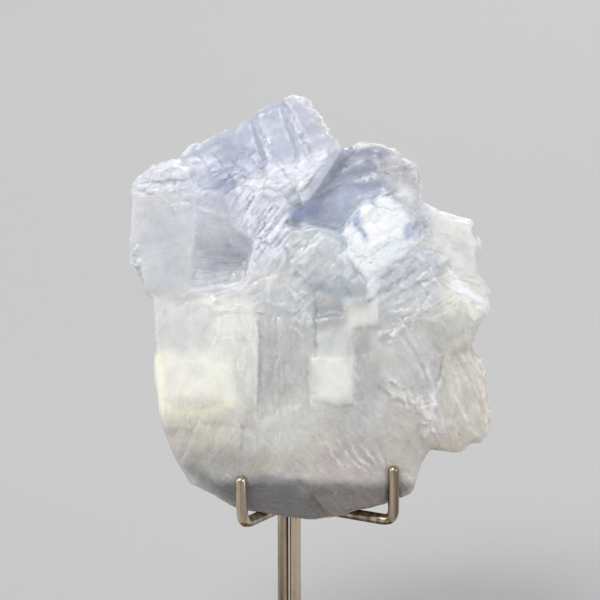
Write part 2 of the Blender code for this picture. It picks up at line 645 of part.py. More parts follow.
def rod_rings(route, radius):
    """Rings of points along a route, with a domed tip at each end."""
    first = (route[1] - route[0]).normalized()
    last = (route[-1] - route[-2]).normalized()
    dome = ((0.0, 0.55), (0.35, 0.88))
    stations = [(route[0] + first * (radius * rise * 0.9), radius * width) for rise, width in dome]
    stations += [(route[0] + first * (radius * 0.75), radius)]
    stations += [(point, radius) for point in route[1:-1]]
    stations += [(route[-1] - last * (radius * 0.75), radius)]
    stations += [(route[-1] - last * (radius * rise * 0.9), radius * width) for rise, width in dome[::-1]]
    points = [s[0] for s in stations]
    side = first.orthogonal().normalized()
    rings = []
    for i, (middle, width) in enumerate(stations):
        ahead = points[min(i + 1, len(points) - 1)] - points[max(i - 1, 0)]
        ahead.normalize()
        side = (side - ahead * side.dot(ahead)).normalized()
        across = ahead.cross(side)
        one = []
        for k in range(ROD_SIDES):
            turn = 2 * math.pi * k / ROD_SIDES
            one.append(middle + (side * math.cos(turn) + across * math.sin(turn)) * width)
        rings.append(one)
    return rings


def rod_object(name, route, radius, collection=None):
    rings = rod_rings(route, radius)
    points = [p for one in rings for p in one]
    last = (len(rings) - 1) * ROD_SIDES
    faces = [tuple(range(ROD_SIDES)), tuple(range(last, last + ROD_SIDES))]
    for level in range(len(rings) - 1):
        for i in range(ROD_SIDES):
            j = (i + 1) % ROD_SIDES
            low, high = level * ROD_SIDES, (level + 1) * ROD_SIDES
            faces.append((low + i, low + j, high + j, high + i))
    obj = make_object(name, points, faces, collection)
    obj.data.shade_smooth()
    obj.data.set_sharp_from_angle(angle=math.radians(50))
    return obj


def fork_route(left, right, side, prong_heights, lean):
    """Left prong tip, down and in to the stem, and out and up to the right prong tip."""
    left_height, right_height = prong_heights
    corners = (
        (left[0] * 1.05, left[1] + lean * left_height, ARM_HEIGHT + left_height),
        (left[0], left[1], ARM_HEIGHT),
        (0.0, side * FORK_OFFSET, ARM_HEIGHT),
        (right[0], right[1], ARM_HEIGHT),
        (right[0], right[1] + lean * right_height, ARM_HEIGHT + right_height),
    )
    return rounded_route(corners, PRONG_BEND_RADIUS)


def stand_routes():
    """Every rod of the stand by name."""
    radius = ROD_DIAMETER / 2
    spread = radius + GAP / 2
    foot = BASE_THICKNESS - SOCKET_DEPTH + GAP
    top = ARM_HEIGHT - radius - GAP
    routes = {
        "front_fork": fork_route(FRONT_LEFT, FRONT_RIGHT, -1, FRONT_PRONG_HEIGHTS, 0.0),
        "rear_fork": fork_route(REAR_LEFT, REAR_RIGHT, 1, REAR_PRONG_HEIGHTS, REAR_PRONG_LEAN),
    }
    for name, sign in (("stem_rod_left", -1), ("stem_rod_right", 1)):
        x, y = sign * spread * math.cos(STEM_TURN), sign * spread * math.sin(STEM_TURN)
        routes[name] = [Vector((x, y, foot)), Vector((x, y, (foot + top) / 2)), Vector((x, y, top))]
    return routes


def base_object(material):
    """A plain turned disc with a bevelled rim and a slot that takes both stem rods."""
    bpy.ops.mesh.primitive_cylinder_add(
        vertices=72, radius=BASE_DIAMETER / 2 * MM, depth=BASE_THICKNESS * MM,
        location=(0, 0, BASE_THICKNESS / 2 * MM))
    base = bpy.context.object
    base.name = "base_disc"
    bevel = base.modifiers.new("rim", "BEVEL")
    bevel.width = BASE_BEVEL * MM
    bevel.segments = 3
    bevel.limit_method = "ANGLE"
    bevel.angle_limit = math.radians(60)

    sockets = helper_collection("base_sockets")
    radius = ROD_DIAMETER / 2 + GAP
    spread = ROD_DIAMETER / 2 + GAP / 2
    count = 8
    points = []
    for z in (BASE_THICKNESS - SOCKET_DEPTH, BASE_THICKNESS + SOCKET_DEPTH):
        for sign in (1, -1):
            for i in range(count + 1):
                angle = STEM_TURN + math.pi * (i / count - 0.5 * sign)
                x = sign * spread * math.cos(STEM_TURN) + radius * math.cos(angle)
                y = sign * spread * math.sin(STEM_TURN) + radius * math.sin(angle)
                points.append((x, y, z))
    sides = 2 * (count + 1)
    faces = [tuple(range(sides)), tuple(range(sides, 2 * sides))]
    faces += [(i, (i + 1) % sides, sides + (i + 1) % sides, sides + i) for i in range(sides)]
    make_object("stem_socket", points, faces, sockets)
    add_boolean(base, "stem socket", sockets, "DIFFERENCE")
    apply_modifiers(base)
    remove_helpers(sockets)
    base.data.materials.append(material)
    base.data.shade_smooth()
    base.data.set_sharp_from_angle(angle=math.radians(40))
    return base


def build_stand():
    """The stand's rods and base, and the fatter rods that keep the stone clear of them."""
    metal = make_material("nickel", (0.72, 0.66, 0.56), 0.22, 1.0)
    clearance = helper_collection("stand_clearance")
    to_stone = stone_to_world().inverted()
    for name, route in stand_routes().items():
        rod = rod_object(name, route, ROD_DIAMETER / 2)
        rod.data.materials.append(metal)
        keep_out = rod_object(f"{name}_clearance", route, ROD_DIAMETER / 2 + GAP, clearance)
        keep_out.data.transform(to_stone)
    base_object(metal)
    return clearance


def main():
    clear_scene()
    clearance = build_stand()
    build_stone(clearance)


main()
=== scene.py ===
"""The look of a pale blue calcite specimen on its wire stand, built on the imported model.

Sizes are in metres, and the stone's own are in millimetres in the frame it leans in: x to the viewer's
right, y away from the viewer and z up from its lowest lip.
"""

import json
import logging
import math
from dataclasses import dataclass, field
from enum import Enum

import bmesh
import bpy
import numpy as np
from mathutils import Matrix, Vector

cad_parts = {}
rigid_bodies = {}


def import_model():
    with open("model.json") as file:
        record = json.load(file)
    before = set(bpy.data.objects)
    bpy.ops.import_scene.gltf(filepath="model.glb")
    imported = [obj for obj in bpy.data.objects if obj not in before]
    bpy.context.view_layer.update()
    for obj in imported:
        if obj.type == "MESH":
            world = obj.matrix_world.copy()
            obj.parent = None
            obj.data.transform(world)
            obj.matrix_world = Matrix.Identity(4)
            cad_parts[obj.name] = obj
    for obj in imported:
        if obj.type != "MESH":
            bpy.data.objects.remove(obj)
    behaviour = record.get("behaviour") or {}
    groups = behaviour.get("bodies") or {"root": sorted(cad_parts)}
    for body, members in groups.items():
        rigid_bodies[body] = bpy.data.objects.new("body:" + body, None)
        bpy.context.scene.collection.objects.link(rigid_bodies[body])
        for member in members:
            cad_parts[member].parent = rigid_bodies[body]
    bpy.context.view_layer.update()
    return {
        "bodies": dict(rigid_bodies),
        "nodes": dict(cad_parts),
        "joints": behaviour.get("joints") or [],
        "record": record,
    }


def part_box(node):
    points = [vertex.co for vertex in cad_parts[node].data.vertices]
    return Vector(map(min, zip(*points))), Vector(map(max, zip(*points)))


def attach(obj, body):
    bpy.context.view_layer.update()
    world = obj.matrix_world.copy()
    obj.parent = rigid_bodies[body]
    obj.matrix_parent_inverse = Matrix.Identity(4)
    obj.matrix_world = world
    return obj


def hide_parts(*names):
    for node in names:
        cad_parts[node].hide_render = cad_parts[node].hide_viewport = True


LOG = logging.getLogger("calcite")
MM = 0.001
RHOMB_ANGLE = 78.0
Rgb = tuple[float, float, float]
Course = tuple[int, ...]


class Relief(Enum):
    """How broken a face of the stone is, as a share of the full cleavage relief."""

    POLISHED = 0.04
    SMOOTH = 0.20
    STEPPED = 0.40
    BROKEN = 0.70


@dataclass(frozen=True)
class StonePose:
    """Where the stone's own frame sits in the world.

    Attributes:
        foot: The stone's lowest lip, in world millimetres.
        lean: How far it leans back, in degrees.
    """

    foot: Rgb = (0.0, -8.0, 48.0)
    lean: float = 12.0

    def to_world(self) -> Matrix:
        """The matrix from stone metres to world metres."""
        turn = Matrix.Rotation(-math.radians(self.lean), 4, "X")
        return Matrix.Translation(Vector(self.foot) * MM) @ turn

    def local_mm(self, points: np.ndarray) -> np.ndarray:
        """World points in metres turned to the stone's millimetres."""
        inverse = np.array(self.to_world().inverted())
        return (points @ inverse[:3, :3].T + inverse[:3, 3]) / MM

    def world_m(self, points: np.ndarray) -> np.ndarray:
        """The stone's millimetres turned to world points in metres."""
        matrix = np.array(self.to_world())
        return (points * MM) @ matrix[:3, :3].T + matrix[:3, 3]

    def world_directions(self, directions: np.ndarray) -> np.ndarray:
        """Directions in the stone's frame turned to the world's."""
        return directions @ np.array(self.to_world())[:3, :3].T


@dataclass(frozen=True)
class Zone:
    """A face or a region of the stone's front with its own tint and break.

    Attributes:
        name: What the region is.
        tint: Its colour as the eye sees it, 0 to 255, with painted light or shade on some regions.
        relief: How broken its surface is.
        feather: How many millimetres its border takes to fade.
        wander: How many millimetres its border strays.
        frost: How much whiter and rougher its surface scatters, 0 to 1.
        lines: How clear its fine cleavage lines are, 0 to 1.
        outline: Its border's corners seen from the front, x and z in turn, in tenths of a stone millimetre.
    """

    name: str
    tint: Rgb
    relief: Relief
    feather: float
    wander: float
    frost: float
    lines: float
    outline: Course


class Seam:
    """Single lines of one kind on the stone's front, such as the edge of a step.

    Attributes:
        name: What the lines are.
        half_width: How far each reaches to its sides, in millimetres.
        change: How much it lightens the tint, or darkens it where below 0.
        rise: How far it stands out, or cuts in where below 0, in millimetres.
        courses: The corners of each line seen from the front, x and z in turn, in tenths of a millimetre.
    """

    def __init__(self, name: str, half_width: float, change: float, rise: float, *courses: Course) -> None:
        """Keeps what the attributes say."""
        self.name, self.half_width, self.change, self.rise = name, half_width, change, rise
        self.courses = courses


@dataclass(frozen=True)
class Grain:
    """A region of one cleavage.

    Attributes:
        centre: Its middle seen from the front, in stone millimetres.
        edge_angles: Its two edge directions seen from the front, in degrees.
        slope: How its front plane falls back, across and up.
        stretch: How much longer than elsewhere its cells run along the first edge.
    """

    centre: tuple[float, float]
    edge_angles: tuple[float, float]
    slope: tuple[float, float]
    stretch: float = 1.0

    def edges(self) -> np.ndarray:
        """Finds the three cleavage edge directions.

        Returns:
            One direction of length 1 a row.
        """
        across, up = self.slope
        rows = []
        for angle in self.edge_angles:
            x, z = math.cos(math.radians(angle)), math.sin(math.radians(angle))
            rows.append(Vector((x, across * x + up * z, z)).normalized())
        rows.append(Vector((0.22, 1.0, -0.18)).normalized())
        return np.array(rows)


GRAINS = (
    Grain((0, 98), (28, -54), (-0.03, 0.32)),
    Grain((-34, 76), (4, 86), (-0.12, 0.06)),
    Grain((-18, 69), (0, 62), (0.30, -0.12)),
    Grain((-6, 74), (52, -34), (0.10, 0.10), 1.8),
    Grain((10, 66), (44, -40), (0.10, 0.10), 1.4),
    Grain((12, 83), (26, -62), (0.02, 0.0)),
    Grain((24, 92), (20, -66), (0.05, 0.10)),
    Grain((25, 74), (36, -48), (0.10, 0.20)),
    Grain((32, 62), (32, -52), (0.10, 0.10)),
    Grain((44, 68), (-14, 78), (0.16, 0.12)),
    Grain((-22, 42), (90, 1), (-0.08, 0.05)),
    Grain((4, 42), (88, -2), (0.0, 0.05)),
    Grain((31, 42), (-60, 24), (0.08, -0.05)),
    Grain((46, 34), (-66, 20), (0.15, 0.0)),
    Grain((-20, 16), (70, -20), (-0.10, -0.35)),
    Grain((18, 16), (-46, 40), (0.12, -0.30)),
)

# Painted in this order, so that a later region lies over an earlier one. Some regions' tints are painted
# light or shade, as noted at each.
ZONES = (
    Zone("upper ground", (214, 218, 223), Relief.BROKEN, 6, 3, 0, 0.3, (-471, 1155, 608, 1155, 608, 616, 29,
         603, -471, 616)),
    Zone("lower ground", (200, 198, 195), Relief.SMOOTH, 6, 3, 0, 0.1, (-471, 616, 29, 603, 608, 616, 608,
         -55, -471, -55)),
    Zone("right ground", (215, 215, 211), Relief.STEPPED, 5, 2, 0.1, 0.2, (292, 839, 608, 866, 608, 458, 397,
         445, 345, 524, 371, 655, 305, 708)),
    Zone("left block", (211, 211, 213), Relief.POLISHED, 1.6, 1, 0.1, 0.12, (-424, 858, -400, 892, -339, 924,
         -261, 945, -237, 905, -242, 800, -247, 676, -261, 592, -366, 582, -389, 676, -424, 774)),
    Zone("left block veil", (202, 205, 209), Relief.POLISHED, 4, 3, 0, 0.12, (-366, 800, -300, 826, -271, 734,
         -287, 629, -339, 616, -366, 708)),
    Zone("left block crown", (223, 224, 228), Relief.BROKEN, 3, 2.5, 0.4, 0.2, (-421, 853, -392, 900, -300,
         950, -203, 982, -171, 932, -213, 876, -313, 855)),
    Zone("upper left rubble", (214, 216, 229), Relief.STEPPED, 3, 3, 0.2, 0.4, (-282, 876, -234, 971, -129,
         1018, -71, 971, -71, 892, -134, 834, -234, 818)),
    Zone("lavender shade", (178, 182, 200), Relief.STEPPED, 3, 3, 0, 0.2, (-213, 903, -176, 939, -118, 950,
         -103, 892, -139, 839, -203, 850)),
    Zone("lavender fleck", (178, 186, 214), Relief.STEPPED, 2.5, 2.5, 0, 0.2, (-166, 997, -113, 1018, -97,
         982, -129, 955, -166, 966)),
    Zone("rubble lower edge", (213, 215, 225), Relief.STEPPED, 3, 2, 0.1, 0.2, (-271, 826, -195, 839, -129,
         826, -113, 782, -176, 792, -245, 782)),
    Zone("peak left plate", (182, 187, 202), Relief.POLISHED, 1.5, 1.5, 0.1, 0.25, (-297, 945, -197, 1003,
         -89, 1071, -53, 971, -66, 924, -139, 955, -221, 950)),
    Zone("peak middle plate", (189, 193, 208), Relief.POLISHED, 1, 0.6, 0.1, 0.25, (-89, 1071, -13, 1108, 37,
         997, 55, 945, -34, 924, -58, 971)),
    Zone("peak right plate", (191, 193, 205), Relief.POLISHED, 1, 0.6, 0.15, 0.25, (-13, 1108, 8, 1124, 66,
         1095, 142, 976, 103, 945, 58, 934, 37, 997)),
    Zone("peak lit steps", (227, 230, 237), Relief.BROKEN, 2.5, 2.5, 0.6, 0.2, (-61, 939, 29, 945, 108, 963,
         79, 903, 29, 871, -55, 871, -71, 903)),
    Zone("white notch", (229, 231, 236), Relief.BROKEN, 1.8, 2, 0.6, 0.2, (-134, 876, -103, 897, -66, 892,
         -71, 850, -113, 845)),
    Zone("peak foot shade", (191, 194, 210), Relief.STEPPED, 2, 2, 0, 0.2, (-116, 950, -71, 971, -39, 945,
         -61, 918, -103, 924)),
    Zone("flow ridges", (228, 230, 238), Relief.BROKEN, 2.5, 2, 0.1, 0.8, (-124, 861, -71, 845, -11, 876, 34,
         871, -3, 803, -8, 734, -71, 671, -129, 676, -97, 747, -129, 800)),
    Zone("grey facet", (205, 206, 211), Relief.POLISHED, 3.5, 2, 0, 0.7, (-250, 776, -195, 803, -129, 782,
         -87, 726, -79, 692, -134, 653, -203, 642, -245, 618)),
    Zone("grey facet core", (176, 180, 188), Relief.POLISHED, 3, 1.5, 0, 0.8, (-234, 718, -150, 734, -113,
         703, -129, 655, -213, 645)),
    Zone("facet foot", (220, 220, 221), Relief.STEPPED, 3, 2, 0.1, 0.4, (-245, 618, -139, 650, -71, 676, 29,
         682, 34, 603, -129, 576, -245, 587)),
    Zone("diagonal light band", (214, 215, 212), Relief.STEPPED, 2, 1.5, 0.2, 0.5, (-139, 584, -92, 626, 29,
         674, 71, 716, 87, 692, 29, 653, -71, 605, -113, 574)),
    Zone("upper right face", (162, 166, 180), Relief.SMOOTH, 1.2, 1, 0, 0.35, (92, 913, 113, 950, 142, 979,
         187, 995, 274, 974, 282, 929, 224, 900, 147, 889, 97, 858, 50, 824, 50, 850)),
    Zone("upper right glow", (170, 174, 190), Relief.SMOOTH, 2, 1.5, 0, 0.35, (103, 892, 124, 924, 161, 945,
         218, 945, 213, 913, 147, 900, 108, 871)),
    Zone("cheek", (200, 199, 203), Relief.STEPPED, 1.8, 1.4, 0.2, 0.3, (266, 976, 329, 934, 363, 866, 353,
         824, 287, 832, 224, 866, 229, 900)),
    Zone("cheek white flecks", (230, 231, 229), Relief.STEPPED, 1.5, 2, 0.4, 0.3, (266, 887, 297, 892, 329,
         871, 324, 839, 287, 845)),
    Zone("blue window", (183, 189, 206), Relief.POLISHED, 1.5, 1, 0, 0.7, (-3, 800, 29, 826, 108, 863, 166,
         889, 250, 892, 271, 866, 239, 839, 171, 824, 153, 776, 76, 774, 3, 782)),
    Zone("blue window root", (174, 190, 218), Relief.POLISHED, 1.5, 1, 0, 0.5, (-3, 800, 34, 824, 87, 824, 76,
         797, 8, 784)),
    Zone("pale blue strip", (176, 187, 199), Relief.SMOOTH, 1.4, 1, 0, 0.4, (34, 779, 153, 776, 158, 713, 124,
         729, 76, 761)),
    Zone("veiled blue face", (207, 210, 212), Relief.STEPPED, 2.5, 2, 0, 0.3, (-11, 771, 34, 779, 124, 729,
         158, 703, 166, 634, 108, 597, 34, 603, -11, 676)),
    Zone("white patch", (244, 249, 254), Relief.BROKEN, 0.8, 3.4, 1, 0.4, (150, 745, 176, 792, 203, 832, 221,
         829, 239, 845, 297, 829, 316, 789, 326, 755, 358, 739, 347, 716, 300, 695, 271, 661, 232, 639, 192,
         647, 150, 700)),
    Zone("bright ridge", (242, 244, 246), Relief.STEPPED, 1.6, 1.2, 0.5, 0.2, (200, 650, 232, 650, 237, 579,
         213, 574)),
    Zone("mauve patch", (203, 207, 211), Relief.STEPPED, 1.8, 1.6, 0, 0.4, (305, 813, 371, 829, 397, 774, 363,
         732, 324, 739, 311, 782)),
    Zone("right shoulder", (224, 224, 220), Relief.SMOOTH, 1.8, 1.2, 0.2, 0.2, (371, 826, 429, 811, 492, 787,
         497, 734, 518, 708, 508, 639, 439, 655, 397, 676, 379, 734)),
    Zone("shaded groove", (210, 214, 219), Relief.STEPPED, 1.6, 1, 0, 0.5, (361, 729, 400, 676, 371, 642, 297,
         624, 229, 582, 213, 629, 279, 676)),
    Zone("groove foot", (209, 210, 210), Relief.STEPPED, 3, 2, 0, 0.35, (229, 579, 297, 621, 371, 639, 421,
         639, 400, 576, 350, 518, 250, 518)),
    Zone("right ledge", (225, 224, 214), Relief.STEPPED, 2, 1.5, 0.2, 0.3, (416, 639, 508, 639, 532, 603, 526,
         550, 482, 479, 424, 455, 397, 518, 400, 576)),
    Zone("bright ledge ridge", (254, 254, 250), Relief.BROKEN, 1.4, 1.2, 0.9, 0.2, (416, 653, 445, 629, 479,
         597, 529, 576, 526, 547, 471, 566, 426, 603)),
    Zone("ledge foot", (193, 193, 187), Relief.SMOOTH, 2.4, 2, 0, 0.2, (305, 529, 397, 545, 476, 529, 497,
         484, 429, 455, 371, 458)),
    Zone("milky block", (219, 218, 216), Relief.POLISHED, 2.5, 1.5, 0.1, 0.04, (-371, 582, -234, 576, -103,
         587, -82, 545, -84, 439, -366, 437)),
    Zone("milky block sheen", (224, 224, 219), Relief.SMOOTH, 3, 2, 0.2, 0.04, (-221, 576, -103, 582, -82,
         524, -87, 445, -195, 445)),
    Zone("milky panel", (235, 234, 223), Relief.POLISHED, 2.2, 1.4, 0.4, 0.04, (-366, 437, -139, 442, -132,
         313, -350, 311)),
    Zone("milky panel veil", (220, 220, 213), Relief.SMOOTH, 2.4, 1.6, 0.1, 0.12, (-139, 497, -84, 497, -82,
         305, -137, 305)),
    Zone("cream foot", (233, 229, 208), Relief.SMOOTH, 2.4, 1, 0.2, 0.04, (-350, 311, -137, 311, -129, 266,
         -334, 250)),
    Zone("left edge cream", (254, 249, 226), Relief.SMOOTH, 2, 1, 0.4, 0.04, (-371, 432, -334, 432, -318, 300,
         -361, 282, -371, 353)),
    Zone("milky block heel", (215, 213, 206), Relief.SMOOTH, 1.5, 0.8, 0.1, 0.04, (-137, 305, -82, 305, -84,
         253, -168, 250, -176, 282)),
    Zone("beige foot", (212, 207, 196), Relief.SMOOTH, 3, 2, 0.1, 0.04, (-350, 276, -129, 271, -124, 182,
         -234, 168, -308, 182)),
    Zone("lower left shade", (183, 181, 174), Relief.SMOOTH, 3.5, 2, 0, 0.12, (-297, 176, -121, 189, -82, 168,
         -66, 126, -142, 100, -221, 100, -271, 129)),
    Zone("column head", (201, 203, 203), Relief.STEPPED, 3, 2, 0.15, 0.3, (-71, 587, 71, 592, 66, 497, -76,
         497)),
    Zone("grey column", (197, 198, 194), Relief.SMOOTH, 1.8, 0.8, 0, 0.12, (-76, 497, 66, 497, 63, 308, -76,
         308)),
    Zone("column foot", (205, 203, 195), Relief.SMOOTH, 2.5, 2, 0.1, 0.12, (-121, 308, 63, 308, 97, 208, 29,
         166, -121, 179)),
    Zone("slate spots", (168, 172, 180), Relief.POLISHED, 1.8, 2, 0, 0.2, (50, 629, 103, 632, 111, 595, 61,
         589)),
    Zone("teal blotch", (174, 184, 188), Relief.POLISHED, 2.2, 1.6, 0, 0.2, (124, 624, 182, 629, 187, 582,
         134, 571)),
    Zone("small column top", (211, 212, 210), Relief.POLISHED, 1.6, 0.9, 0.1, 0.04, (74, 487, 121, 497, 166,
         495, 166, 421, 74, 421)),
    Zone("small column foot", (227, 228, 221), Relief.POLISHED, 1.8, 1.6, 0.4, 0.04, (61, 421, 168, 421, 168,
         308, 126, 300, 66, 318)),
    Zone("cream block", (221, 222, 217), Relief.POLISHED, 1.8, 0.8, 0.2, 0.04, (142, 495, 142, 518, 155, 539,
         176, 555, 203, 568, 232, 576, 232, 529, 224, 505, 187, 497, 166, 500)),
    Zone("grey groove", (201, 201, 197), Relief.SMOOTH, 1.2, 0.6, 0, 0.12, (171, 500, 216, 500, 211, 308, 171,
         308)),
    Zone("olive shade", (184, 185, 181), Relief.POLISHED, 1.8, 1, 0, 0.12, (176, 500, 239, 500, 218, 445, 176,
         439)),
    Zone("groove rim", (209, 210, 205), Relief.POLISHED, 2, 1.2, 0.1, 0.12, (213, 495, 292, 503, 292, 424,
         224, 424)),
    Zone("dark fold", (194, 193, 191), Relief.POLISHED, 2, 1.5, 0, 0.12, (182, 429, 229, 413, 271, 387, 271,
         334, 218, 313, 182, 324)),
    Zone("wedge facet", (205, 204, 201), Relief.SMOOTH, 1.6, 0.8, 0, 0.55, (276, 497, 397, 482, 405, 366, 376,
         321, 321, 313, 276, 337, 239, 376, 282, 434)),
    Zone("fan body", (210, 206, 197), Relief.SMOOTH, 1.6, 1, 0, 0.6, (403, 458, 482, 487, 497, 445, 529, 353,
         542, 247, 482, 189, 397, 182, 363, 234, 400, 313)),
    Zone("fan rim", (214, 207, 191), Relief.BROKEN, 1, 1.6, 0.3, 0.5, (487, 450, 518, 405, 547, 313, 547, 239,
         513, 213, 511, 313, 489, 397)),
    Zone("fan warm foot", (210, 201, 188), Relief.SMOOTH, 1.8, 1, 0, 0.3, (355, 226, 466, 218, 461, 166, 339,
         182)),
    Zone("lower centre face", (202, 198, 191), Relief.SMOOTH, 2.4, 1.6, 0, 0.15, (34, 166, 100, 305, 297, 305,
         361, 234, 350, 182, 332, 97, 266, 95, 29, 108)),
    Zone("rose grain", (188, 179, 174), Relief.SMOOTH, 3, 2, 0.1, 0.25, (76, 187, 239, 197, 250, 118, 134,
         108, 66, 124)),
    Zone("cream band", (200, 194, 183), Relief.SMOOTH, 2.5, 1.5, 0.1, 0.12, (-87, 174, 58, 182, 71, 139, -71,
         126)),
    Zone("wedge splinters", (216, 214, 210), Relief.BROKEN, 1.3, 3.2, 0.35, 0.6, (250, 350, 282, 324, 313,
         303, 345, 287, 371, 282, 389, 297, 400, 324, 411, 361, 392, 345, 376, 324, 355, 308, 324, 313, 292,
         334, 266, 361)),
    Zone("lower splinters", (211, 205, 199), Relief.BROKEN, 1.6, 2.4, 0.25, 0.5, (347, 292, 371, 297, 387,
         287, 397, 261, 429, 239, 424, 218, 392, 224, 355, 218, 355, 250)),
    Zone("rose splinters", (192, 185, 180), Relief.SMOOTH, 2.5, 2.5, 0.1, 0.9, (87, 192, 134, 208, 218, 208,
         255, 176, 239, 134, 176, 129, 118, 134)),
    Zone("patch heart", (251, 254, 254), Relief.STEPPED, 3, 2.5, 1, 0.1, (197, 782, 229, 808, 266, 808, 292,
         782, 287, 750, 255, 718, 229, 708, 208, 724, 192, 750)),
    Zone("peak right rim", (208, 208, 213), Relief.BROKEN, 0.9, 1.4, 0.4, 0.2, (-13, 1124, 18, 1126, 61, 1092,
         108, 1039, 147, 992, 137, 976, 97, 1021, 50, 1076, 13, 1111, -11, 1108)),
    Zone("cheek rim", (208, 206, 204), Relief.BROKEN, 0.9, 1.4, 0.3, 0.2, (166, 987, 218, 997, 287, 982, 324,
         961, 345, 924, 366, 866, 350, 850, 332, 913, 311, 950, 276, 968, 218, 982, 171, 971)),
    Zone("shoulder rim", (238, 238, 228), Relief.BROKEN, 1, 1.6, 0.3, 0.2, (366, 839, 424, 826, 487, 805, 513,
         782, 521, 734, 529, 676, 518, 639, 503, 676, 500, 734, 492, 771, 455, 797, 397, 816)),
    Zone("patch wedge", (186, 196, 218), Relief.STEPPED, 0.9, 1.2, 0.2, 0.2, (168, 803, 182, 808, 192, 776,
         208, 745, 197, 734, 182, 755, 168, 782)),
    Zone("patch shade", (184, 194, 214), Relief.STEPPED, 1.1, 1.6, 0.1, 0.2, (303, 771, 324, 782, 339, 766,
         324, 739, 305, 729, 297, 750)),
    Zone("patch low fleck", (233, 240, 251), Relief.BROKEN, 1.1, 1.8, 0.6, 0.2, (218, 734, 250, 739, 282, 726,
         255, 708, 224, 713)),
    Zone("window light", (192, 197, 211), Relief.POLISHED, 1.8, 1.2, 0, 0.6, (45, 803, 87, 829, 134, 845, 176,
         861, 192, 850, 150, 829, 103, 811, 61, 792)),
    Zone("flow shade low", (215, 217, 226), Relief.BROKEN, 2.5, 2.6, 0.1, 0.9, (-97, 750, -71, 771, -34, 782,
         3, 787, -8, 745, -34, 708, -66, 697, -92, 718)),
    # Painted shade: the upward ledges of the small column and of the wedge get darker tints against the light
    # they catch.
    Zone("small column brow", (168, 170, 171), Relief.POLISHED, 1.8, 1.2, 0, 0.04, (61, 553, 142, 558, 145,
         518, 108, 508, 63, 511)),
    Zone("wedge brow", (180, 180, 179), Relief.POLISHED, 1.8, 1.4, 0, 0.1, (229, 482, 255, 497, 287, 518, 308,
         521, 303, 497, 276, 476, 245, 458)),
    # Painted light: a lighter tint along the side under the peak's overhang, against the shade that falls
    # there.
    Zone("peak under edge", (195, 199, 213), Relief.POLISHED, 1.5, 0.8, 0, 0.3, (137, 979, 153, 966, 89, 874,
         42, 821, 24, 826, 76, 892, 118, 950)),
    Zone("soft centre light", (209, 208, 202), Relief.SMOOTH, 3, 2.5, 0.1, 0.12, (-87, 292, 29, 303, 82, 282,
         61, 229, 3, 192, -71, 208)),
    Zone("blue grey centre", (203, 202, 200), Relief.SMOOTH, 3, 2.5, 0, 0.15, (108, 303, 218, 308, 271, 287,
         255, 250, 161, 239, 108, 261)),
    # Painted shade: the two foot facets face down, and their dark tints are the shade under the stone over
    # its own blue-grey and warm-brown hues.
    Zone("left foot facet", (136, 135, 137), Relief.POLISHED, 2, 1, 0, 0.2, (-271, 139, -150, 103, -71, 111,
         29, 105, 61, 50, 113, -8, -8, -8, -150, 37)),
    Zone("right foot facet", (133, 126, 122), Relief.SMOOTH, 2, 1, 0, 0.2, (29, 105, 297, 95, 339, 92, 297,
         53, 213, 18, 113, -8, 61, 50)),
)
